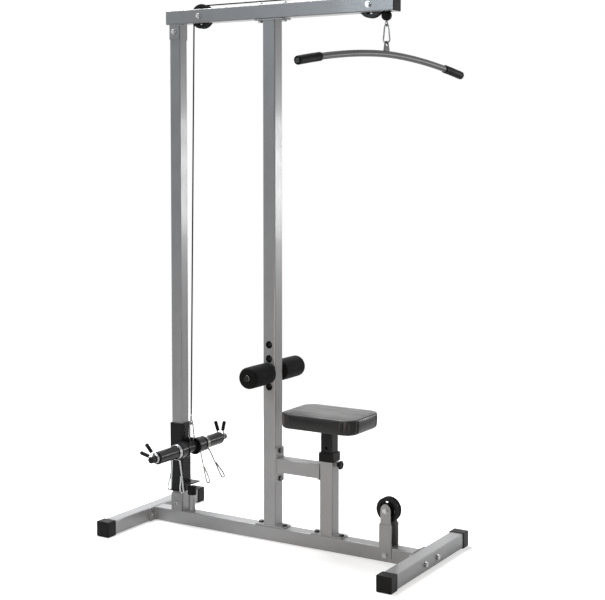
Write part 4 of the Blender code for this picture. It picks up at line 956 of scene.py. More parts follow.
# %% Heads, washers and threads
HEX_R = 0.0098
HEX_POINTS = 72
HEAD_TALL = 0.0065
HEAD_FOOT = 0.94
HEAD_OVER = 1.02
HEAD_FACE = 0.95
HEAD_DISH = 0.1
CHAMFER_SHARE = 0.62
CHAMFER_MORE = 0.0004
WASHER_R = 0.0115
WASHER_WALL = 0.002
WASHER_EDGE = 0.0004
SHANK_R = 0.005
THREAD_ROOT_R = SHANK_R * 0.86
THREAD_TIP_R = SHANK_R * 0.8
THREAD_PITCH = 0.0012
THREAD_CREST = 0.4
THREAD_VALLEY = 0.9
THREAD_PROUD = 0.0012
THREAD_LONG = 0.0035


def hexed(across):
    """A shape for spin that keeps a radius inside a hexagon with this corner radius."""

    def shape(angle, radius, along):
        turn = angle % (math.pi / 3) - math.pi / 6
        return min(radius, across * math.cos(math.pi / 6) / math.cos(turn))

    return shape


def bolt_head(bm, axis, centre, foot, top, across=HEX_R):
    """A chamfered hexagon from its foot to its slightly dished top."""
    flat = across * math.cos(math.pi / 6)
    way = 1 if top > foot else -1
    drop = (across - flat) * CHAMFER_SHARE + CHAMFER_MORE
    wide = across * HEAD_OVER
    face = flat * HEAD_FACE
    outline = [(flat * HEAD_FOOT, foot), (wide, foot)]
    for step in range(6):
        t = step / 5
        outline.append((wide + (face - wide) * t, top - way * drop * (1 - t)))
    outline.append((0, top - HEAD_DISH * (top - foot)))
    spin(bm, axis, centre, outline, HEX_POINTS, hexed(across))


def washer(bm, axis, centre, low, high, radius=WASHER_R):
    outline = [(SHANK_R, low), (radius, low), (radius, high), (SHANK_R, high)]
    spin(bm, axis, centre, rounded(outline, WASHER_EDGE, 2), 48, loop=True)


def thread_end(bm, axis, centre, low, high):
    """A threaded end from inside the nut to its chamfered tip."""
    way = 1 if high > low else -1
    outline = [(THREAD_ROOT_R, low)]
    for i in range(max(2, int(abs(high - low) / THREAD_PITCH))):
        at = low + way * THREAD_PITCH * i
        outline.append((SHANK_R, at + way * THREAD_PITCH * THREAD_CREST))
        outline.append((THREAD_ROOT_R, at + way * THREAD_PITCH * THREAD_VALLEY))
    outline += [(THREAD_TIP_R, high), (0, high)]
    spin(bm, axis, centre, outline, 32)


print("hexagon corner radius in mm:", 1000 * HEX_R)

# %% [markdown]
# A through bolt is put together from those shapes: a head, two washers, a shank, a nut and the end
# of a thread. The CAD bolt's box gives its place and length, so a bolt stays right if the frame
# changes.


# %% Through bolts
def through_bolt(node, name, axis="Y", spacers=()):
    """A bolt with washers and a nut for a CAD bolt. Its head is at the lower end of the axis."""
    low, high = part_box(node)
    index = AXES[axis][2]
    centre = (low + high) / 2
    first, last = low[index] - centre[index], high[index] - centre[index]
    head_foot, nut_foot = first + HEAD_TALL, last - HEAD_TALL
    bm = bmesh.new()
    bolt_head(bm, axis, centre, head_foot, first)
    washer(bm, axis, centre, head_foot, head_foot + WASHER_WALL)
    spin(bm, axis, centre, [(SHANK_R, head_foot), (SHANK_R, nut_foot)], 32)
    for start, end, radius in spacers:
        washer(bm, axis, centre, start, end, radius)
    washer(bm, axis, centre, nut_foot - WASHER_WALL, nut_foot)
    bolt_head(bm, axis, centre, nut_foot, last - THREAD_PROUD)
    thread_end(bm, axis, centre, last - THREAD_LONG, last)
    piece_of(bm, name, ZINC, "frame", [node], sharp=35)


for end in ("rear", "front"):
    for _, side_name in SIDES:
        node = f"{end}_foot_bolt_{side_name}"
        through_bolt(node, f"{end}_foot_hex_bolt_{side_name}", "X")
for spot in ("guide_foot", "guide_top", "low_post"):
    through_bolt(f"{spot}_bolt", f"{spot}_hex_bolt")
print("through bolts: 7")

# %% [markdown]
# The bolts of the flanges are formed on their CAD pieces. Cutting them off would change a CAD
# mesh. So a zinc head with a washer, a little larger, is fitted over each of them, and a nut with
# a thread end over each far side.

# %% Flange bolts
COVER = 0.0003
SEAT_WASHER = 0.0009
NUT_THREAD_IN = 0.002
NUT_THREAD_OUT = 0.0018
FLANGE_BOLT = 0.0535
BRACE_BOLT = 0.054


def bolt_cover(bm, axis, centre, foot, way, threaded):
    """A washer and a head over a formed one that stands on foot and points along way."""
    base = foot + way * SEAT_WASHER
    top = foot + way * (HEAD_TALL + SEAT_WASHER)
    washer(bm, axis, centre, foot, base, WASHER_R + COVER)
    bolt_head(bm, axis, centre, base, top, HEX_R + COVER)
    if threaded:
        thread_end(bm, axis, centre, top - way * NUT_THREAD_IN, top + way * NUT_THREAD_OUT)


def flange_bolt(name, axis, centre, ends, steel):
    """A bolt seen at one or two ends: each has a foot, a way to point and a thread or none."""
    bm = bmesh.new()
    for foot, way, threaded in ends:
        bolt_cover(bm, axis, centre, foot, way, threaded)
    piece_of(bm, name, steel, "frame", sharp=35)


behind_main = MAIN_X - TUBE_HALF - GAP
foot_ends = [(flange_top, 1, False)]
head_ends = [(under_beam, -1, False), (BEAM_TOP + GAP, 1, True)]
brace_ends = [(brace_flange, 1, False), (behind_main, -1, True)]
# The bolts at the feet and the brace take the darker zinc, a painted shade; those at the beam stay
# bright.
for way, end in ((-1, "rear"), (1, "front")):
    main_spot = (MAIN_X + way * FLANGE_BOLT, 0, 0)
    seat_spot = (SEAT_X + way * FLANGE_BOLT, 0, 0)
    flange_bolt(f"main_foot_bolt_{end}", "Z", main_spot, foot_ends, SHADED_ZINC)
    flange_bolt(f"seat_foot_bolt_{end}", "Z", seat_spot, foot_ends, SHADED_ZINC)
    flange_bolt(f"main_head_bolt_{end}", "Z", main_spot, head_ends, ZINC)
for way, end in ((-1, "low"), (1, "high")):
    brace_spot = (0, 0, BRACE_Z + way * BRACE_BOLT)
    flange_bolt(f"brace_bolt_{end}", "X", brace_spot, brace_ends, SHADED_ZINC)
print("flange bolts: 8")

# %% [markdown]
# ## Pulleys
# A pulley is a moulded wheel: a rim with a groove for the cable, a thin web with holes in it, and
# a hub on the axle. Two helpers come first: one completes an outline by its mirror image, and one
# cuts holes. The cut is a Boolean that is applied at once, so that no cutter stays in the scene.


# %% Mirrored outlines and cut holes
def mirrored(half):
    """An outline of pairs, followed by its mirror image back to the start."""
    return half + [(radius, -along) for radius, along in half[::-1]]


def drilled(piece, cutter_bm):
    """Takes the cutter's shape out of a piece, and leaves the piece without modifiers."""
    bmesh.ops.recalc_face_normals(cutter_bm, faces=cutter_bm.faces)
    mesh = bpy.data.meshes.new("cutter")
    cutter_bm.to_mesh(mesh)
    cutter_bm.free()
    cutter = bpy.data.objects.new("cutter", mesh)
    scene.collection.objects.link(cutter)
    piece.modifiers.clear()
    cut = piece.modifiers.new("drill", "BOOLEAN")
    cut.operation = "DIFFERENCE"
    cut.solver = "EXACT"
    cut.object = cutter
    bpy.context.view_layer.update()
    graph = bpy.context.evaluated_depsgraph_get()
    whole = piece.data
    piece.data = bpy.data.meshes.new_from_object(piece.evaluated_get(graph))
    piece.modifiers.clear()
    bpy.data.meshes.remove(whole)
    bpy.data.objects.remove(cutter)
    piece.data.shade_smooth()
    piece.data.set_sharp_from_angle(angle=math.radians(40))


print("cutting helpers ready")

# %% [markdown]
# The wheel's outline goes once round rim, web and hub and is turned about the axle. The holes in
# the web are bent round the hub. Drawn in a texture they would not show the light behind, so they
# are cut.

# %% Pulleys
PULLEY_HALF = 0.012
PULLEY_RIM = 0.014
PULLEY_LIP = 0.003
PULLEY_EDGE = 0.0011
GROOVE_DEEP = 0.0084
GROOVE_HALF = 0.003
HUB_R = 0.0155
HUB_SLOPE = 0.002
HUB_PLAY = 0.0005
WEB_HALF = 0.0025
WEB_SLOPE = 0.0015
WEB_HOLES = 3
WEB_HOLE_R = 0.0032
WEB_HOLE_IN = 0.0046
WEB_HOLE_SPAN = math.radians(6)
WEB_CUT_HALF = 0.006
BORE_R = 0.0055
SPACER_R = 0.009
BEAM_WALL = 0.0023
EAR_WALL = 0.0043
FIRST_HOLES = (("rear", 255, BEAM_WALL), ("front", 268, BEAM_WALL), ("low", 106, EAR_WALL))


def kidney(middle, turn):
    """The outline of a hole that is bent round the hub, as pairs."""

    def spot(reach, angle, out=0.0, way=0.0):
        u = reach * math.cos(angle) + out * math.cos(way)
        return u, reach * math.sin(angle) + out * math.sin(way)

    made = []
    for end, edge in ((1, WEB_HOLE_R), (-1, -WEB_HOLE_R)):
        last = turn + end * WEB_HOLE_SPAN
        for step in range(9):
            made.append(spot(middle + edge, last + end * WEB_HOLE_SPAN * (step / 4 - 2)))
        facing = last if end > 0 else last + math.pi
        for step in range(1, 8):
            made.append(spot(middle, last, WEB_HOLE_R, facing + math.pi * step / 8))
    return made


def pulley(node, name, first_hole):
    """A wheel for a CAD pulley. first_hole is the angle of one of its holes."""
    low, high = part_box(node)
    centre = (low + high) / 2
    radius = (high.z - low.z) / 2
    rim = radius - PULLEY_RIM
    half = [(BORE_R, PULLEY_HALF), (HUB_R, PULLEY_HALF), (HUB_R + HUB_SLOPE, WEB_HALF)]
    half += [(rim - WEB_SLOPE, WEB_HALF), (rim, PULLEY_HALF), (radius, PULLEY_HALF)]
    half += [(radius, PULLEY_HALF - PULLEY_LIP), (radius - GROOVE_DEEP, GROOVE_HALF)]
    bm = bmesh.new()
    spin(bm, "Y", centre, rounded(mirrored(half), PULLEY_EDGE, 3), 96, loop=True)
    wheel = piece_of(bm, name, NYLON, sharp=50)
    cutter = bmesh.new()
    for turn in turns(WEB_HOLES):
        hole = kidney(rim - WEB_HOLE_IN, turn + first_hole)
        rings = []
        for along in (-WEB_CUT_HALF, WEB_CUT_HALF):
            rings.append([place("Y", centre, u, v, along) for u, v in hole])
        loft(cutter, rings)
    drilled(wheel, cutter)
    even_normals(wheel)
    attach(wheel, node)
    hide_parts(node)


for end, first_hole, side_wall in FIRST_HOLES:
    pulley(f"{end}_pulley", f"{end}_pulley_wheel", math.radians(first_hole))
    axle_low, axle_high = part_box(f"{end}_pulley_axle")
    inside = (axle_high.y - axle_low.y) / 2 - HEAD_TALL - WASHER_WALL - side_wall
    hub_side = PULLEY_HALF + HUB_PLAY
    spacers = [(-inside, -hub_side, SPACER_R), (hub_side, inside, SPACER_R)]
    through_bolt(f"{end}_pulley_axle", f"{end}_pulley_bolt", spacers=spacers)
print("pulleys:", len(FIRST_HOLES))

# %% [markdown]
# ## Cable
# One steel cable in a black jacket runs from the weight carriage up over both top pulleys and down
# to the bar. It is held all the way, so it needs no simulation: it is three taut runs. Each run
# has points all along it.

# %% Cable
CABLE_R = 0.0025
JACKET_R = 0.0029
CABLE_WRAP = 0.04175
REAR_PULLEY_X = -0.354
FRONT_PULLEY_X = 0.391
HANG_X = 0.4515
CABLE_SIDES = 16
WRAP_STEPS = 24
TOP_STEPS = 12
RUN_STEPS = 40


def touch_angle(axle_x, target, way):
    """The angle where a line from the target touches the cable's circle on a pulley."""
    dx = target.x - axle_x
    dz = target.z - BEAM_Z
    return math.atan2(dz, dx) + way * math.acos(CABLE_WRAP / math.hypot(dx, dz))


def wrapped(axle_x, first, last):
    """The cable's way round a pulley, from one angle to another."""
    made = []
    for i in range(WRAP_STEPS + 1):
        angle = first + (last - first) * i / WRAP_STEPS
        reach = (CABLE_WRAP * math.cos(angle), 0, CABLE_WRAP * math.sin(angle))
        made.append(Vector((axle_x, 0, BEAM_Z)) + Vector(reach))
    return made


rear_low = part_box("cable_rear_run")[0]
rear_end = Vector((rear_low.x + CABLE_R, 0, rear_low.z))
front_end = Vector((HANG_X, 0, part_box("cable_front_run")[0].z))
rear_touch = touch_angle(REAR_PULLEY_X, rear_end, -1) % (2 * math.pi)
front_touch = touch_angle(FRONT_PULLEY_X, front_end, 1)
rear_wrap = wrapped(REAR_PULLEY_X, rear_touch, math.pi / 2)
front_wrap = wrapped(FRONT_PULLEY_X, math.pi / 2, front_touch)
between = [rear_wrap[-1].lerp(front_wrap[0], i / TOP_STEPS) for i in range(1, TOP_STEPS)]
top_path = rear_wrap + between + front_wrap
bm = bmesh.new()
sweep(bm, top_path, JACKET_R, CABLE_SIDES)
piece_of(bm, "cable_over_top", JACKET, "frame", ["cable_top_run"], sharp=60)


def hanging_run(name, node, start, end):
    """A straight run from the frame to the body that pulls it."""
    path = [start.lerp(end, i / RUN_STEPS) for i in range(RUN_STEPS + 1)]
    bm = bmesh.new()
    sweep(bm, path, JACKET_R, CABLE_SIDES)
    run = piece_of(bm, name, JACKET, None, [node], sharp=60)
    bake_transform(run)


hanging_run("cable_at_rear", "cable_rear_run", top_path[0], rear_end)
hanging_run(
    "cable_at_front", "cable_front_run", top_path[-1], front_end
)
top_length = sum((b - a).length for a, b in zip(top_path, top_path[1:]))
print("cable over the top in m:", round(top_length, 3))

# %% [markdown]
# ## Cable ends
# At each end the cable is bent into a small eye and crimped in a ferrule with two pressed bands.
# The eye is a closed ring under the ferrule, which hides where a real cable comes back on itself.
# The front end is turned by the angle at which the bar hangs.

# %% Cable ends
EYE_LOOP_R = 0.0075
EYE_WIRE_R = 0.0022
FERRULE_R = 0.0045
FERRULE_EDGE = 0.0005
PRESSED = 0.86
FERRULE = (
    (1, 0), (1, 0.22), (PRESSED, 0.28), (PRESSED, 0.42), (1, 0.48),
    (1, 0.54), (PRESSED, 0.60), (PRESSED, 0.74), (1, 0.80), (1, 1),
)
STEM_R = CABLE_R * 0.99
STEM_INSIDE = 0.001
FERRULE_OVER = 0.4
BAR_YAW = -0.110


def yawed(points, x, yaw=BAR_YAW):
    """Points turned about the upright line at x, by the bar's angle if no other is given."""
    c, s = math.cos(yaw), math.sin(yaw)
    made = []
    for p in points:
        dx = p[0] - x
        made.append(Vector((x + c * dx - s * p[1], s * dx + c * p[1], p[2])))
    return made


def cable_eye(node, name, body, top, yaw):
    """A loop of bare cable under a crimped ferrule whose top is given."""
    low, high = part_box(node)
    x = (low.x + high.x) / 2
    z = low.z + EYE_LOOP_R + EYE_WIRE_R
    loop = [(x, EYE_LOOP_R * math.cos(a), z + EYE_LOOP_R * math.sin(a)) for a in turns(40)]
    foot = z + EYE_LOOP_R - EYE_WIRE_R * FERRULE_OVER
    ferrule = [(FERRULE_R * wide, foot + (top - foot) * share) for wide, share in FERRULE]
    outline = [(CABLE_R, foot), *ferrule, (CABLE_R, top)]
    bm = bmesh.new()
    sweep(bm, yawed(loop, x, yaw), EYE_WIRE_R, 12, loop=True)
    spin(bm, "Z", (x, 0, 0), rounded(outline, FERRULE_EDGE, 2), 36, loop=True)
    spin(bm, "Z", (x, 0, 0), [(STEM_R, top - STEM_INSIDE), (STEM_R, high.z)], 24)
    piece_of(bm, name, HOOK_STEEL, body, [node], sharp=60)
    return x


ball_low, ball_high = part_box("stop_ball")
cable_eye("cable_front_eye", "front_cable_eye", "bar_hook", ball_low.z - GAP, BAR_YAW)
carriage_eye_top = rear_end.z - 2 * FERRULE_R
carriage_hook_x = cable_eye("cable_rear_eye", "rear_cable_eye", "carriage", carriage_eye_top, 0)
print("cable ends: 2")

# %% [markdown]
# At the front, a rubber ball on the cable stops against the beam. A plain sphere would close over
# the cable, so its outline starts and ends at the bore, with a fine mould line round the middle.

# %% Stop ball
BALL_STEPS = 48
MOULD_LINE = 0.00025
MOULD_SPREAD = 0.03
ball_r = (ball_high.x - ball_low.x) / 2
ball_z = (ball_low.z + ball_high.z) / 2
edge = math.asin((CABLE_R + GAP) / ball_r)
outline = []
for i in range(BALL_STEPS + 1):
    angle = edge + (math.pi - 2 * edge) * i / BALL_STEPS
    line = MOULD_LINE * math.exp(-(((angle - math.pi / 2) / MOULD_SPREAD) ** 2))
    outline.append(((ball_r - line) * math.sin(angle), -(ball_r - line) * math.cos(angle)))
bm = bmesh.new()
spin(bm, "Z", (HANG_X, 0, ball_z), outline, 56, loop=True)
piece_of(bm, "rubber_stop_ball", RUBBER, "cable_end", ["stop_ball"], sharp=60)
print("stop ball in mm:", round(2000 * ball_r, 1))

# %% [markdown]
# ## Snap hooks
# A snap hook is a bent link, wide below and narrow above, with a sprung gate in its right side. It
# could be traced as a curve, but two arcs and the straight sides between them need only a height
# and two radii. One wire follows them. The gate is a thinner wire with a pin at its foot and a
# nose that meets the link, and it is a piece of its own, because it swings.

# %% Snap hooks
HOOK_WIRE_R = 0.003
HOOK_TIP = 0.82
HOOK_INNER_TALL = 0.0655
HOOK_WIDE_R = 0.0135
HOOK_NARROW_R = 0.0085
HOOK_TOP = HOOK_INNER_TALL - HOOK_NARROW_R
GATE_LOW = 0.020
GATE_HIGH = 0.055
GATE_GAP = 0.0005
TIP_LONG = 0.003
GATE = (
    (0.0, 0.55), (0.03, 0.80), (0.06, 0.92), (0.5, 0.92), (0.86, 0.92),
    (0.92, 0.70), (0.95, 0.62), (0.98, 0.62), (1.0, 0.40),
)
PIN_UP = 0.0028
PIN = ((-1.06, 0.0008), (-0.98, 0.0012), (0.98, 0.0012), (1.06, 0.0008))


def hook_side(height):
    """A point on the gate's side at this height above the lower wire."""
    share = (height - HOOK_WIDE_R) / (HOOK_TOP - HOOK_WIDE_R)
    return HOOK_WIDE_R + (HOOK_NARROW_R - HOOK_WIDE_R) * share, height


def snap_hook(node, body, x, yaw):
    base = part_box(node)[0].z + HOOK_WIRE_R
    path = [hook_side(GATE_LOW), hook_side(GATE_LOW - TIP_LONG)]
    for i in range(25):
        a = -math.pi * i / 24
        path.append((HOOK_WIDE_R * math.cos(a), HOOK_WIDE_R + HOOK_WIDE_R * math.sin(a)))
    for i in range(21):
        a = math.pi - math.pi * i / 20
        path.append((HOOK_NARROW_R * math.cos(a), HOOK_TOP + HOOK_NARROW_R * math.sin(a)))
    path.append(hook_side(GATE_HIGH))
    radii = [HOOK_WIRE_R] * len(path)
    radii[0] = radii[-1] = HOOK_WIRE_R * HOOK_TIP
    snap_name = node.replace("hook", "snap_hook")
    bm = bmesh.new()
    sweep(bm, yawed([(x + u, 0, base + v) for u, v in path], x, yaw), radii, 16)
    piece_of(bm, snap_name, HOOK_STEEL, body, [node], sharp=50)

    low = GATE_LOW + GATE_GAP
    tall = GATE_HIGH - GATE_GAP - low
    line = [hook_side(low + tall * share) for share, _ in GATE]
    u, v = hook_side(low + PIN_UP)
    pin = [(x + u, way * HOOK_WIRE_R, base + v) for way, _ in PIN]
    bm = bmesh.new()
    line_radii = [HOOK_WIRE_R * wide for _, wide in GATE]
    sweep(bm, yawed([(x + u, 0, base + v) for u, v in line], x, yaw), line_radii, 16)
    sweep(bm, yawed(pin, x, yaw), [radius for _, radius in PIN], 12)
    gate = f"{node}_gate"
    piece_of(bm, f"{snap_name}_gate", HOOK_STEEL, gate, [gate], sharp=50)


snap_hook("carriage_hook", "carriage", carriage_hook_x, 0)
snap_hook("bar_hook", "bar_hook", HANG_X, BAR_YAW)
print("snap hooks: 2")

# %% [markdown]
# ## Lat bar
# The bar is a steel tube bent to a shallow arc, with a flat eye welded on top. A bend modifier
# would give a circle, but the real arc is flat in the middle and steeper towards the grips, as a
# power curve is. The eye's outline is a circle that runs down tangent lines to a wide foot.

# %% Lat bar
BAR_CHORD = 1.034
BAR_R = 0.012
BAR_DROP = 0.051
BAR_CURVE = 1.8
BAR_STEPS = 80
BAR_Z = 1.83793
LUG_Z = 1.87393
LUG_HOLE_R = 0.007
LUG_RIM_R = LUG_HOLE_R + 0.0045
LUG_BASE_HALF = 0.018
LUG_HALF = 0.0025
LUG_SOFT = 0.0008
LUG_FOOT = 0.8
LUG_TURN = math.radians(14.4)


def bar_point(share):
    """A point of the bar's middle line, from -1 at its left end to 1 at its right."""
    drop = BAR_DROP * abs(share) ** BAR_CURVE
    return Vector((HANG_X, share * BAR_CHORD / 2, BAR_Z - drop))


bm = bmesh.new()
bar_path = [bar_point(-1 + 2 * i / BAR_STEPS) for i in range(BAR_STEPS + 1)]
sweep(bm, yawed(bar_path, HANG_X), BAR_R, 32)
foot = BAR_Z + BAR_R * LUG_FOOT - LUG_Z
edge_u, edge_v = LUG_RIM_R * math.cos(LUG_TURN), LUG_RIM_R * math.sin(LUG_TURN)
run_u, run_v = LUG_BASE_HALF - edge_u, foot - edge_v
outer, inner = [], []
for angle in turns(48):
    u, v = math.cos(angle), math.sin(angle)
    if v >= math.sin(LUG_TURN):
        reach = LUG_RIM_R
    elif v < 0 and abs(u / v) * abs(foot) <= LUG_BASE_HALF:
        reach = foot / v
    else:
        reach = (edge_u * run_v - edge_v * run_u) / (abs(u) * run_v - v * run_u)
    outer.append((reach * u, reach * v))
    inner.append((LUG_HOLE_R * u, LUG_HOLE_R * v))
flank = LUG_HALF - LUG_SOFT
lug_levels = [(outer, -LUG_SOFT, -LUG_HALF), (outer, 0, -flank), (outer, 0, flank)]
lug_levels += [(outer, -LUG_SOFT, LUG_HALF), (inner, LUG_SOFT, LUG_HALF), (inner, 0, flank)]
lug_levels += [(inner, 0, -flank), (inner, LUG_SOFT, -LUG_HALF)]
lug_rings = []
for ring, grow, across in lug_levels:
    made = []
    for u, v in ring:
        scale = 1 + grow / math.hypot(u, v)
        made.append((HANG_X + across, u * scale, LUG_Z + v * scale))
    lug_rings.append(yawed(made, HANG_X))
loft(bm, lug_rings, loop=True)
piece_of(bm, "lat_bar_tube", BAR_STEEL, "lat_bar", ["lat_bar"], sharp=50)
print("lat bar in mm:", round(1000 * BAR_CHORD))

# %% [markdown]
# The grips follow the same curve, with a lip, three grooves and a rounded end with a hole in it. A
# small plug closes the tube in that hole. Each station is a share of the way and of the radius.
# The rings of a grip keep one direction, so that its end face stays square to the bar.

# %% Grips and end plugs of the bar
BAR_GRIP_R = 0.0155
BAR_GRIP = 0.120
BAR_GRIP_PROUD = 0.003
GRIP_GROOVES = (0.16, 0.24, 0.32)
GRIP_GROOVE = ((-0.014, 1.0), (-0.006, 0.955), (0.006, 0.955), (0.014, 1.0))
GRIP_STATIONS = [(0.0, 0.80), (0.004, 0.96), (0.012, 1.0), (0.045, 1.0), (0.050, 1.0)]
for at in GRIP_GROOVES:
    for off, wide in GRIP_GROOVE:
        GRIP_STATIONS.append((at + off, wide))
GRIP_STATIONS += [(0.5, 1.0), (0.7, 1.0), (0.90, 1.0), (0.965, 1.0), (0.980, 0.985)]
GRIP_STATIONS += [(0.992, 0.94), (0.998, 0.88), (1.0, 0.82), (1.0, 0.64), (0.997, 0.60)]
GRIP_STATIONS += [(0.985, 0.58), (0.984, 0.10)]
GRIP_END_WAY = (0.965, 0.980)
PLUG_SUNK = 0.0005
PLUG_R = 0.0088
PLUG_FROM = 0.98
PLUG_RINGS = (
    (0, 0.0014), (0.45, 0.0010), (0.84, 0.0008), (0.98, 0.0), (0.98, -0.0012), (0, -0.0012)
)
near = 1 - 2 * BAR_GRIP / BAR_CHORD
far = 1 + 2 * BAR_GRIP_PROUD / BAR_CHORD
sideways = Vector((math.cos(BAR_YAW), math.sin(BAR_YAW), 0))


def grip_point(side, share):
    return bar_point(side * (near + (far - near) * share))


for side, side_name in SIDES:
    path = [grip_point(side, share) for share, _ in GRIP_STATIONS]
    first, last = (grip_point(side, share) for share in GRIP_END_WAY)
    way = (last - first).normalized()
    flat = Vector((-way.y * math.sin(BAR_YAW), way.y * math.cos(BAR_YAW), way.z))
    over = flat.cross(sideways).normalized()
    across = over.cross(flat)
    circle = [math.cos(a) * across + math.sin(a) * over for a in turns(40)]
    rings = []
    for point, (_, wide) in zip(yawed(path, HANG_X), GRIP_STATIONS):
        rings.append([point + BAR_GRIP_R * wide * out for out in circle])
    bm = bmesh.new()
    loft(bm, rings)
    node = f"lat_bar_grip_{side_name}"
    name = f"lat_bar_rubber_grip_{side_name}"
    piece_of(bm, name, RUBBER, "lat_bar", [node], sharp=50)

bm = bmesh.new()
across = Vector((1, 0, 0))
for side, _ in SIDES:
    end = bar_point(side * (1 + 2 * (BAR_GRIP_PROUD - PLUG_SUNK) / BAR_CHORD))
    way = (end - bar_point(side * PLUG_FROM)).normalized()
    over = way.cross(across).normalized()
    rings = []
    for reach, along in PLUG_RINGS:
        ring = []
        for angle in turns(32) if reach else (0,):
            out = PLUG_R * reach * (math.cos(angle) * across + math.sin(angle) * over)
            ring.append(end + way * along + out)
        rings.append(yawed(ring, HANG_X))
    loft(bm, rings)
piece_of(bm, "lat_bar_end_plugs", PLUG_PLASTIC, "lat_bar", sharp=50)
print("bar grips: 2")

# %% [markdown]
# ## Weight bar and its sleeves
# Plates go on two plastic sleeves that slip over the weight bar. Each sleeve has a thick collar at
# its inner end and is split along one line, which shows as a narrow groove. A Boolean could cut
# it, but a radius that drops over a few degrees keeps the faces even and needs no cutter.

# %% Weight bar and sleeves
HORN_R = 0.0125
HORN_ROWS = ((0, 0.0015), (0.5, 0.0015), (0.62, 0), (0.86, 0), (1, 0.0025), (1, 0.02))
SLEEVE_R = 0.0245
SLEEVE_COLLAR_R = 0.031
SLEEVE_COLLAR = 0.037
SLEEVE_PLAY = 0.0005
SLEEVE_EDGE = 0.0016
SPLIT_ANGLE = math.radians(8)
SPLIT_HALF = math.radians(2.4)
SPLIT_DEEP = 0.0016
SPLIT_FROM_R = HORN_R + 0.002

horn_low, horn_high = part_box("weight_bar")
HORN_X = (horn_low.x + horn_high.x) / 2
HORN_Z = (horn_low.z + horn_high.z) / 2
HORN = (HORN_X, 0, HORN_Z)


def bar_end(rows, radius, end):
    """An outline from rows of a share of the radius and a depth below the end."""
    return [(radius * share, end - depth) for share, depth in rows]


bm = bmesh.new()
spin(bm, "Y", HORN, mirrored(bar_end(HORN_ROWS, HORN_R, horn_high.y)), 48)
piece_of(bm, "weight_bar_rod", BLACK_STEEL, "carriage", ["weight_bar"], sharp=40)


def split(angle, radius, along):
    """A sleeve's radius, with the groove of its split."""
    if radius < SPLIT_FROM_R:
        return radius
    off = (angle - SPLIT_ANGLE + math.pi) % (2 * math.pi) - math.pi
    return radius - SPLIT_DEEP * max(0.0, 1 - (off / SPLIT_HALF) ** 2)


for side, side_name in SIDES:
    node = f"plate_sleeve_{side_name}"
    start, end = reach_across(node)
    bore = HORN_R + SLEEVE_PLAY
    shoulder = start + SLEEVE_COLLAR
    outline = [(bore, start), (bore, end), (SLEEVE_R, end), (SLEEVE_R, shoulder)]
    outline += [(SLEEVE_COLLAR_R, shoulder), (SLEEVE_COLLAR_R, start)]
    outline = [(r, side * w) for r, w in rounded(outline, SLEEVE_EDGE, 4)]
    bm = bmesh.new()
    spin(bm, "Y", HORN, outline, 150, split, loop=True)
    name = f"plate_adapter_{side_name}"
    piece_of(bm, name, SLEEVE_PLASTIC, node, [node], sharp=50)
print("sleeves: 2")

# %% [markdown]
# ## Spring collars
# Two kinds of spring hold the plates. The first is a chrome wire collar that is wound round each
# sleeve, with two long legs that hang down and fold back on themselves. A screw modifier gives a
# coil, but no legs, so the whole wire is one path of formulas, which follows the CAD path with
# more points.

# %% Spring collars
SLEEVE_Y = 0.0403
SLEEVE_END = 0.2098
WIRE_R = 0.0020
WIRE_SEEN_R = 0.0023
WIRE_LEG_R = 0.0027
WIRE_TIP = 0.7
WIRE_TURNS = 3
WIRE_PITCH = 0.0048
WIRE_SHOULDER_R = 0.010
WIRE_LEG = 0.157
WIRE_RETURN = 0.066
WIRE_BEND_R = 0.0080
LEG_POINTS = (0.3, 0.6, 1)
RETURN_GAP = 2.4
COIL_R = SLEEVE_R + 2 * GAP + WIRE_R
COIL_POINTS = 48
SHOULDER_Z = -COIL_R - WIRE_SHOULDER_R


def leg_spots(side):
    """One leg as pairs across and down: straight, round the bend and eased back up."""
    straight = WIRE_LEG + SHOULDER_Z - WIRE_BEND_R
    spots = [(0, straight * t) for t in LEG_POINTS]
    for i in range(1, 16):
        a = math.pi * i / 16
        across = side * WIRE_BEND_R * (1 - math.cos(a))
        spots.append((across, straight + WIRE_BEND_R * math.sin(a)))
    far = 2 * side * WIRE_BEND_R
    near = RETURN_GAP * side * WIRE_SEEN_R
    climb = WIRE_BEND_R - WIRE_RETURN
    for i in range(9):
        t = i / 8
        spots.append((far + (near - far) * t * t * (3 - 2 * t), straight + climb * t))
    return spots


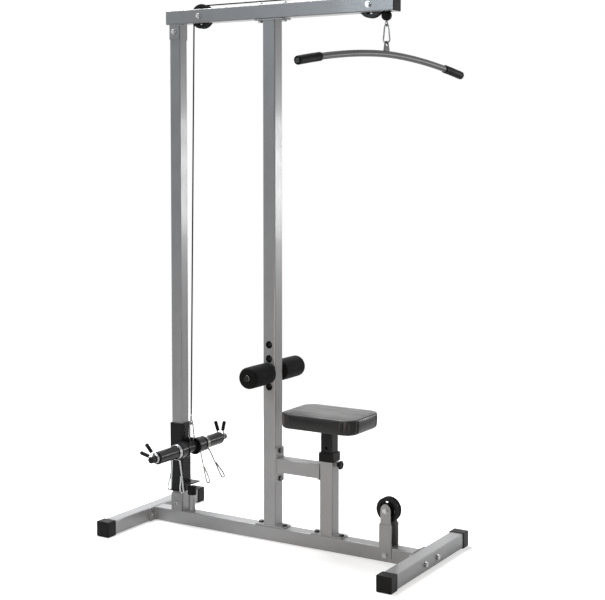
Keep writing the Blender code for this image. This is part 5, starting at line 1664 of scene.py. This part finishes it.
def wire_collar(side, side_name, start, tops, splays, tilt, steel):
    """A wound collar. tops and splays give each leg's place below the bar and its slope."""
    first_y = SLEEVE_Y + SLEEVE_COLLAR + start
    last_y = first_y + WIRE_PITCH * WIRE_TURNS
    c, s = math.cos(tilt), math.sin(tilt)

    def hung(x, z, y):
        return Vector((HORN_X + c * x - s * z, side * y, HORN_Z + s * x + c * z))

    def leg(way, top, splay, y):
        made = []
        for i in range(10):
            a = math.pi / 2 * i / 9
            across = top - WIRE_SHOULDER_R * (1 - math.sin(a))
            made.append(hung(way * across, SHOULDER_Z + WIRE_SHOULDER_R * math.cos(a), y))
        cos_splay, sin_splay = math.cos(splay), way * math.sin(splay)
        for off, down in leg_spots(side):
            across = way * top + sin_splay * down + cos_splay * off
            made.append(hung(across, SHOULDER_Z - cos_splay * down + sin_splay * off, y))
        return made

    coil = []
    for i in range(WIRE_TURNS * COIL_POINTS + 1):
        a = 2 * math.pi * i / COIL_POINTS - math.pi / 2
        y = first_y + WIRE_PITCH * i / COIL_POINTS
        coil.append(hung(COIL_R * math.cos(a), COIL_R * math.sin(a), y))
    first_leg = leg(-1, tops[0], splays[0], first_y)[::-1]
    last_leg = leg(1, tops[1], splays[1], last_y)
    radii = [WIRE_LEG_R] * len(first_leg) + [WIRE_SEEN_R] * len(coil)
    radii += [WIRE_LEG_R] * len(last_leg)
    radii[0] = radii[-1] = WIRE_LEG_R * WIRE_TIP
    bm = bmesh.new()
    sweep(bm, first_leg + coil + last_leg, radii, 14)
    node = f"wire_collar_{side_name}"
    piece_of(bm, f"chrome_wire_collar_{side_name}", steel, node, [node], sharp=60)


LEFT_SPLAYS = (math.radians(4), math.radians(7))
RIGHT_SPLAYS = (math.radians(8), math.radians(8))
wire_collar(-1, "left", 0.0028, (0.025, 0.025), LEFT_SPLAYS, math.radians(1), CHROME)
# The right collar is chrome as well; the darker hook steel on it is painted shade and a painted
# dark reflection.
wire_collar(1, "right", 0.018, (0.027, 0.010), RIGHT_SPLAYS, math.radians(22), HOOK_STEEL)
print("wire collars: 2")

# %% [markdown]
# The second kind is a clip at each end of the weight bar. It is wound round the bar, and its two
# arms carry rubber grips. The wire and the pair of grips are two pieces, because they differ in
# material, and both ride on the clip's own body.

# %% Clips with rubber grips
CLIP_R = 0.0024
CLIP_TURNS = 1
CLIP_PITCH = 0.0056
CLIP_START = 0.003
CLIP_POINTS = 72
CLIP_ARM = 0.071
CLIP_ARM_INSIDE = 0.006
CLIP_SPREAD = math.radians(16.5)
CLIP_BEND = 1.3
CLIP_EASE = ((0.0035, 0.69), (0.0065, 0.37), (0.0100, 0.17), (0.0150, 0.05))
CLIP_GRIP_R = 0.0074
CLIP_GRIP = 0.041
CLIP_COIL_R = HORN_R + 2 * GAP + CLIP_R
CLIP_STATIONS = [
    (0.0, 0.72), (0.02, 0.93), (0.06, 1.0), (0.10, 1.0),
    (0.13, 0.90), (0.16, 0.90), (0.19, 1.0), (0.6, 1.0),
]
for i in range(7):
    a = math.pi / 2 * i / 6
    CLIP_STATIONS.append((0.86 + 0.14 * math.sin(a), 0.15 + 0.85 * math.cos(a)))


def grip_collar(side, side_name, aim, steel):
    first_y = SLEEVE_END + CLIP_START + CLIP_R
    begin = aim + side * (CLIP_SPREAD + CLIP_BEND)
    swing = 2 * math.pi * (CLIP_TURNS + 1) - 2 * (CLIP_SPREAD + CLIP_BEND)
    climb = CLIP_PITCH * swing / (2 * math.pi)

    def polar(reach, angle, y):
        x, z = reach * math.cos(angle), reach * math.sin(angle)
        return Vector((HORN_X + x, side * y, HORN_Z + z))

    def arm(way, y):
        made = []
        for out, share in CLIP_EASE:
            angle = aim + way * (CLIP_SPREAD + CLIP_BEND * share)
            made.append(polar(CLIP_COIL_R + out, angle, y))
        for reach in (CLIP_ARM - CLIP_GRIP, CLIP_ARM - CLIP_ARM_INSIDE):
            made.append(polar(reach, aim + way * CLIP_SPREAD, y))
        return made

    coil = []
    for i in range(CLIP_POINTS + 1):
        t = i / CLIP_POINTS
        coil.append(polar(CLIP_COIL_R, begin + side * swing * t, first_y + climb * t))
    node = f"grip_collar_{side_name}"
    bm = bmesh.new()
    sweep(bm, arm(side, first_y)[::-1] + coil + arm(-side, first_y + climb), CLIP_R, 14)
    piece_of(bm, f"spring_clip_{side_name}", steel, node, [node], sharp=60)
    bm = bmesh.new()
    for way, y in ((side, first_y), (-side, first_y + climb)):
        angle = aim + way * CLIP_SPREAD
        line = []
        for share, _ in CLIP_STATIONS:
            line.append(polar(CLIP_ARM - CLIP_GRIP + CLIP_GRIP * share, angle, y))
        sweep(bm, line, [CLIP_GRIP_R * wide for _, wide in CLIP_STATIONS], 24)
    piece_of(bm, f"spring_clip_grips_{side_name}", RUBBER, node, sharp=60)


grip_collar(-1, "left", math.radians(149), CHROME)
# The right clip is chrome as well; the darker hook steel on it is painted shade.
grip_collar(1, "right", math.radians(93), HOOK_STEEL)
print("spring clips: 2")

# %% [markdown]
# ## Carriage stop
# The carriage comes to rest on a short post with a rubber bumper. Cylinders would do from afar,
# but turned outlines also give the weld at the post's foot, and the bumper's groove and soft top.

# %% Carriage stop
STOP_WELD = ((0.003, 0), (0.002, 0.0018), (0, 0.0032))
BUMPER_RISE = 0.003
BUMPER_GROOVE = ((0, 0), (0, 0.006), (0.0012, 0.0075), (0.0012, 0.0090), (0, 0.0105))
BUMPER_EDGE = 0.005
stop_low, stop_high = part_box("stop_post")
STOP = ((stop_low.x + stop_high.x) / 2, 0, 0)
stop_r = (stop_high.x - stop_low.x) / 2
outline = [(stop_r + out, stop_low.z + up) for out, up in STOP_WELD]
outline.append((stop_r, stop_high.z))
bm = bmesh.new()
spin(bm, "Z", STOP, outline, 40)
piece_of(bm, "carriage_stop_post", PAINT, "frame", ["stop_post"], sharp=50)
bumper_low, bumper_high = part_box("stop_bumper")
bumper_r = (bumper_high.x - bumper_low.x) / 2
bumper_bore = stop_r + GAP
outline = [(bumper_bore, bumper_low.z + BUMPER_RISE), (bumper_bore, bumper_low.z)]
outline += [(bumper_r - inset, bumper_low.z + up) for inset, up in BUMPER_GROOVE]
outline += [(bumper_r, bumper_high.z), (0, bumper_high.z)]
bm = bmesh.new()
spin(bm, "Z", STOP, rounded(outline, BUMPER_EDGE, 5, loop=False), 48)
piece_of(bm, "carriage_stop_bumper", RUBBER, "frame", ["stop_bumper"], sharp=50)
print("carriage stop in mm:", round(1000 * (bumper_high.z - stop_low.z), 1))

# %% [markdown]
# ## Thigh rod and foam rollers
# Two foam rollers turn on a steel rod that goes through the main upright. The rod is a tube, and
# small plastic plugs close its ends. Only the ends can be looked into, so the rod is turned as a
# solid with a shallow hole at each end.

# %% Thigh rod
ROD_ROWS = ((0, 0.004), (0.84, 0.004), (0.84, 0.0012), (0.90, 0.0006), (1, 0.0022), (1, 0.03))
ROD_PLUG_ROWS = (
    (0, 0.003), (0.83, 0.003), (0.83, 0.0008), (0.90, 0.0004),
    (0.80, 0), (0.45, 0), (0.40, 0.0008), (0, 0.0008),
)
rod_low, rod_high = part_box("thigh_rod")
ROD = ((rod_low.x + rod_high.x) / 2, 0, (rod_low.z + rod_high.z) / 2)
rod_r = (rod_high.x - rod_low.x) / 2
bm = bmesh.new()
spin(bm, "Y", ROD, mirrored(bar_end(ROD_ROWS, rod_r, rod_high.y)), 48)
piece_of(bm, "thigh_pad_rod", ZINC, "frame", ["thigh_rod"], sharp=40)
plug = bar_end(ROD_PLUG_ROWS, rod_r, rod_high.y)
bm = bmesh.new()
for side, _ in SIDES:
    spin(bm, "Y", ROD, [(r, side * w) for r, w in plug], 40)
piece_of(bm, "thigh_rod_plugs", SLEEVE_PLASTIC, "frame", sharp=50)
print("thigh rod in mm:", round(2000 * rod_high.y, 1))

# %% [markdown]
# The upright has more holes for the rod, one step apart. Each free one is lined with a black
# bushing. A dark disc could stand in for it, but a lined hole lets the light through, as the real
# one does.

# %% Hole bushings
HOLE_R = 0.0133
HOLE_PITCH = 0.0535
FREE_HOLES = (-1, 1, 2)
BUSH_WALL = 0.0012
BUSH_LIP_R = HOLE_R + 0.0010
BUSH_FIT_R = HOLE_R - 0.0001
BUSH_HALF = TUBE_HALF + 0.0006
BUSH_EDGE = 0.0003
half = [(HOLE_R - BUSH_WALL, -BUSH_HALF), (BUSH_LIP_R, -BUSH_HALF)]
half += [(BUSH_LIP_R, -TUBE_HALF), (BUSH_FIT_R, -TUBE_HALF)]
bushing = rounded(mirrored(half), BUSH_EDGE, 2)
bm = bmesh.new()
for step in FREE_HOLES:
    spin(bm, "Y", (ROD[0], 0, ROD[2] + step * HOLE_PITCH), bushing, 48, loop=True)
piece_of(bm, "rod_hole_bushings", RUBBER, "frame", sharp=50)
print("bushings:", len(FREE_HOLES))

# %% [markdown]
# A foam roller is cut from a long tube: its rims are rounded, its end faces are slightly dished,
# and it bulges a little in the middle. Pressure in a cloth simulation would swell it too, but foam
# that is whole and round keeps this simple form, so it is turned.

# %% Foam rollers
ROLLER_BULGE = 0.0006
ROLLER_PLAY = 0.0005
ROLLER_RIM = 0.012
ROLLER_MOUTH = 0.003
ROLLER_DISH = 0.001
for side, side_name in SIDES:
    node = f"thigh_roller_{side_name}"
    low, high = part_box(node)
    radius = (high.z - low.z) / 2 - ROLLER_BULGE
    start, end = reach_across(node)
    bore = rod_r + ROLLER_PLAY
    core = radius - ROLLER_RIM
    outline = [(bore, start + 2 * ROLLER_DISH), (bore, end - 2 * ROLLER_DISH)]
    outline += [(bore + ROLLER_MOUTH, end - ROLLER_DISH), (core, end)]
    for i in range(1, 9):
        a = math.pi / 2 * i / 8
        outline.append((core + ROLLER_RIM * math.sin(a), end - ROLLER_RIM * (1 - math.cos(a))))
    straight = end - start - 2 * ROLLER_RIM
    for i in range(1, 8):
        t = i / 8
        bulge = ROLLER_BULGE * math.sin(math.pi * t)
        outline.append((radius + bulge, end - ROLLER_RIM - straight * t))
    for i in range(8, -1, -1):
        a = math.pi / 2 * i / 8
        along = start + ROLLER_RIM * (1 - math.cos(a))
        outline.append((core + ROLLER_RIM * math.sin(a), along))
    outline.append((bore + ROLLER_MOUTH, start + ROLLER_DISH))
    bm = bmesh.new()
    spin(bm, "Y", ROD, [(r, side * w) for r, w in outline], 80, loop=True)
    roller = piece_of(bm, f"foam_roller_{side_name}", FOAM, node, [node], sharp=70)
print("rollers: 2")

# %% [markdown]
# ## Clamp knob
# The seat is clamped by a knob with lobes for the fingers. A star with beveled points would have
# sharp valleys, so its radius swells and shrinks six times round its rim as a cosine does. A steel
# stud goes from it through the boss.

# %% Clamp knob
LOBES = 6
LOBE_DEEP = 0.025
LOBE_FROM = 0.55
KNOB_DEEP = 0.018
KNOB_DISC = 0.009
KNOB_DISH = 0.0012
KNOB_EDGE = 0.0016
KNOB_HUB = 0.46
KNOB_HUB_ROOT = 0.50
KNOB_BACK = 0.90
KNOB_FACE = 0.86
KNOB_DISH_RIM = 0.45
KNOB_DISH_FLOOR = 0.40
KNOB_RIM = 0.25
STUD_CHAMFER = 0.001
STUD_INSIDE = 0.002
knob_low, knob_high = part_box("seat_knob")
KNOB = (0, (knob_low.y + knob_high.y) / 2, (knob_low.z + knob_high.z) / 2)
knob_r = (knob_high.z - knob_low.z) / 2


def lobed(angle, radius, along):
    """A knob's radius with finger lobes on its rim."""
    share = max(0.0, (radius / knob_r - LOBE_FROM) / (1 - LOBE_FROM))
    return radius * (1 - LOBE_DEEP * share * (1 - math.cos(LOBES * angle)))


front = knob_high.x
back = front - KNOB_DEEP
disc_back = front - KNOB_DISC
outline = [(SHANK_R, back), (knob_r * KNOB_HUB, back)]
outline += [(knob_r * KNOB_HUB_ROOT, disc_back), (knob_r * KNOB_BACK, disc_back)]
outline += [(knob_r, disc_back + KNOB_DISC * KNOB_RIM), (knob_r, front - KNOB_DISC * KNOB_RIM)]
outline += [(knob_r * KNOB_FACE, front), (knob_r * KNOB_DISH_RIM, front)]
outline += [(knob_r * KNOB_DISH_FLOOR, front - KNOB_DISH), (0, front - KNOB_DISH)]
bm = bmesh.new()
spin(bm, "X", KNOB, rounded(outline, KNOB_EDGE, 4, loop=False), 96, lobed)
piece_of(bm, "clamp_knob", PLASTIC, "seat_knob", ["seat_knob"], sharp=60)
tip = knob_low.x
outline = [(0, tip), (THREAD_TIP_R, tip), (SHANK_R, tip + STUD_CHAMFER)]
outline.append((SHANK_R, back + STUD_INSIDE))
bm = bmesh.new()
spin(bm, "X", KNOB, outline, 32)
piece_of(bm, "clamp_knob_stud", ZINC, "seat_knob", sharp=50)
print("knob in mm:", round(2000 * knob_r, 1))

# %% [markdown]
# ## Seat cushion
# The cushion is foam on a board, in a vinyl cover of two parts: a top panel and a side band, sewn
# together along the edge. A rounded box would be quicker, but its seam would wander over the
# faces. So the mesh is one even grid in which the seam is a ring of points: square rings make the
# top panel, and rows of the last ring's length go down the band, round the lower edge and up into
# the recess for the board. A row is how far it is set in, and its rise.

# %% Outline of the cushion
PAD_LONG = 0.320
PAD_WIDE = 0.230
PAD_CORNER = 0.049
PAD_CORNER_LOSS = 0.8
PAD_TOP = 0.0605
SEAM_RISE = 0.0555
SEAM_INSET = 0.0030
PANEL_FLAT = 3.0
PANEL_EDGE = 0.6
GRID = 36
BOARD_WALL = 0.010
BOARD_INSET = 0.014
PAD_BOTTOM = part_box("seat_board")[0].z
BAND = [
    (0.0014, 0.0537), (0.0005, 0.0500), (0.0002, 0.0450), (0.0, 0.0390),
    (0.0, 0.0330), (0.0002, 0.0270), (0.0005, 0.0210), (0.0010, 0.0150),
    (0.0018, 0.0092), (0.0033, 0.0044), (0.0058, 0.0012),
]
RECESS = BOARD_INSET - GAP
UNDERSIDE = [
    (0.0085, 0.0), (0.0118, 0.0), (RECESS, 0.0),
    (RECESS, 0.005), (RECESS, BOARD_WALL + GAP),
]


def pad_outline(index, count, inset):
    """One of count even points on the pad's outline, counted from the middle of a corner."""
    corner = PAD_CORNER - min(inset, PAD_CORNER_LOSS * PAD_CORNER)
    halves = (PAD_LONG / 2 - inset, PAD_WIDE / 2 - inset)
    side, share = divmod(4 * index / count, 1)
    depth = halves[int(side) % 2] - corner
    straight = halves[1 - int(side) % 2] - corner
    arc = corner * math.pi / 4
    run = (2 * share - 1) * (straight + arc)
    turn = max(0.0, abs(run) - straight) / corner
    across = min(abs(run), straight) + corner * math.sin(turn)
    point = (depth + corner * math.cos(turn), math.copysign(across, run))
    for _ in range(int(side)):
        point = (-point[1], point[0])
    return point


def ring_index(i, j):
    """The ring of a grid point, and its number on that ring."""
    ring = max(abs(i), abs(j))
    if i == ring and j < ring:
        return ring, j + ring
    if j == ring and i > -ring:
        return ring, 3 * ring - i
    if i == -ring and j > -ring:
        return ring, 5 * ring - j
    return ring, 7 * ring + i


print("cushion rows:", len(BAND) + len(UNDERSIDE))

# %% [markdown]
# The grid's square rings lie one inside the other, so its faces stay even up to the seam, and the
# cloth can swell evenly. A fan of triangles from the middle would pucker there. The function gives
# back the numbers of the points that the next step holds.


# %% Seat cushion grid
def pad_grid(bm, panel_rise):
    """The cushion as a grid. Gives the points of its seam and of its underside."""

    def point(uv, rise):
        return bm.verts.new((SEAT_X + uv[0], uv[1], PAD_BOTTOM + rise))

    panel = {}
    for i in range(-GRID, GRID + 1):
        for j in range(-GRID, GRID + 1):
            ring, index = ring_index(i, j)
            share = ring / GRID
            uv = pad_outline(index, 8 * ring, SEAM_INSET) if ring else (0, 0)
            rise = SEAM_RISE + panel_rise * (1 - share**PANEL_FLAT) ** PANEL_EDGE
            panel[i, j] = point((uv[0] * share, uv[1] * share), rise)
    for i in range(-GRID, GRID):
        for j in range(-GRID, GRID):
            bm.faces.new([panel[i, j], panel[i + 1, j], panel[i + 1, j + 1], panel[i, j + 1]])
    seam = [None] * (8 * GRID)
    for (i, j), made in panel.items():
        ring, index = ring_index(i, j)
        if ring == GRID:
            seam[index] = made
    rows = [seam]
    for inset, rise in BAND + UNDERSIDE:
        rows.append([point(pad_outline(n, 8 * GRID, inset), rise) for n in range(8 * GRID)])
    for upper, lower in zip(rows, rows[1:]):
        for n in range(8 * GRID):
            m = (n + 1) % (8 * GRID)
            bm.faces.new([upper[n], upper[m], lower[m], lower[n]])
    last = rows[-1]
    for n in range(4 * GRID - 1):
        bm.faces.new([last[n], last[n + 1], last[-2 - n], last[-1 - n]])
    bm.verts.index_update()
    under = [v.index for row in rows[len(BAND):] for v in row]
    return [v.index for v in seam], under


print("points on the seam:", 8 * GRID)

# %% [markdown]
# The underside is pinned to the board and the seam is held by its thread. Sculpting could round
# the cover by hand, but a cloth simulation with inside pressure does it as stuffing does, and the
# same way on each run: the panel crowns and the band swells. How far a point may go is capped
# softly, so that the cushion stays in its place.

# %% Seat cushion, blown up
PRESSURE = 4.0
SIM_FRAMES = 20
SEAM_HOLD = 0.9
SWELL = 0.0032
START_RISE = PAD_TOP - SEAM_RISE - SWELL


def blown_up(piece, pins, cap):
    """Swells a piece by a cloth simulation with inside pressure. pins are points and a hold."""
    start = [vertex.co.copy() for vertex in piece.data.vertices]
    held = piece.vertex_groups.new(name="held")
    for members, hold in pins:
        held.add(members, hold, "REPLACE")
    cloth = piece.modifiers.new("stuffing", "CLOTH")
    cloth.settings.use_pressure = True
    cloth.settings.uniform_pressure_force = PRESSURE
    cloth.settings.vertex_group_mass = "held"
    cloth.settings.effector_weights.gravity = 0
    cloth.collision_settings.use_collision = False
    for number in range(1, SIM_FRAMES + 1):
        scene.frame_set(number)
    graph = bpy.context.evaluated_depsgraph_get()
    ends = [vertex.co.copy() for vertex in piece.evaluated_get(graph).data.vertices]
    piece.modifiers.clear()
    piece.vertex_groups.clear()
    scene.frame_set(1)
    for vertex, first, last in zip(piece.data.vertices, start, ends):
        way = last - first
        if way.length > 0:
            vertex.co = first + way * (cap * math.tanh(way.length / cap) / way.length)


bm = bmesh.new()
seam_ring, underside = pad_grid(bm, START_RISE)
pad = piece_of(bm, "seat_cushion", VINYL, "seat", ["seat_pad"], sharp=180)
pad.modifiers.clear()
blown_up(pad, [(underside, 1.0), (seam_ring, SEAM_HOLD)], SWELL)
swelled = max(vertex.co.z for vertex in pad.data.vertices) - PAD_BOTTOM
print("cushion height in mm:", round(1000 * swelled, 1))

# %% [markdown]
# The vinyl is gathered where the band goes round a corner. That leaves a deep crease at each end
# of the corner and shallow pleats between them, which fade out just below the seam. The simulation
# leaves them out, because its cloth isn't sewn shorter there, so they follow as a formula. The
# thread pulls the seam itself in a little. A crease is its angle, its depth and its width.

# %% Pleats and seam
CREASES = ((6, 0.0085, 3.6), (33, 0.0020, 5.0), (56, 0.0020, 5.0), (84, 0.0085, 3.6))
CREASE_TOP = 0.052
CREASE_FOOT = 0.004
CREASE_PAST = 0.01
CREASE_FADE_TOP = 0.010
CREASE_FADE_FOOT = 0.006
SEAM_PULL = 0.0010


def crease_depth(u, v, rise):
    """How far a point of the band goes in, and the way in."""
    off_u = abs(u) - (PAD_LONG / 2 - PAD_CORNER)
    off_v = abs(v) - (PAD_WIDE / 2 - PAD_CORNER)
    beside = off_u < -CREASE_PAST or off_v < -CREASE_PAST
    if beside or not CREASE_FOOT < rise < CREASE_TOP:
        return 0.0, 0.0, 0.0
    angle = math.degrees(math.atan2(off_v, off_u))
    depth = sum(deep * math.exp(-(((angle - at) / wide) ** 2)) for at, deep, wide in CREASES)
    top_fade = (CREASE_TOP - rise) / CREASE_FADE_TOP
    fade = min(1.0, top_fade, (rise - CREASE_FOOT) / CREASE_FADE_FOOT)
    way = Vector((math.copysign(max(off_u, 0), u), math.copysign(max(off_v, 0), v)))
    way.normalize()
    return depth * fade, way.x, way.y


on_seam = set(seam_ring)
for vertex in pad.data.vertices:
    u, v, rise = vertex.co.x - SEAT_X, vertex.co.y, vertex.co.z - PAD_BOTTOM
    depth, way_u, way_v = crease_depth(u, v, rise)
    vertex.co.x -= depth * way_u
    vertex.co.y -= depth * way_v
    if vertex.index in on_seam:
        inward = Vector((u, v)).normalized()
        vertex.co.x -= SEAM_PULL * inward.x
        vertex.co.y -= SEAM_PULL * inward.y
finer = pad.modifiers.new("finer", "SUBSURF")
finer.levels = 1
finer.render_levels = 1
print("cushion points:", len(pad.data.vertices))

# %% [markdown]
# ## Size
# The box of the dressed model is printed, in millimetres.

# %% Size
low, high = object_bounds()
print("visual box in mm:", [round(1000 * (b - a), 1) for a, b in zip(low, high)])
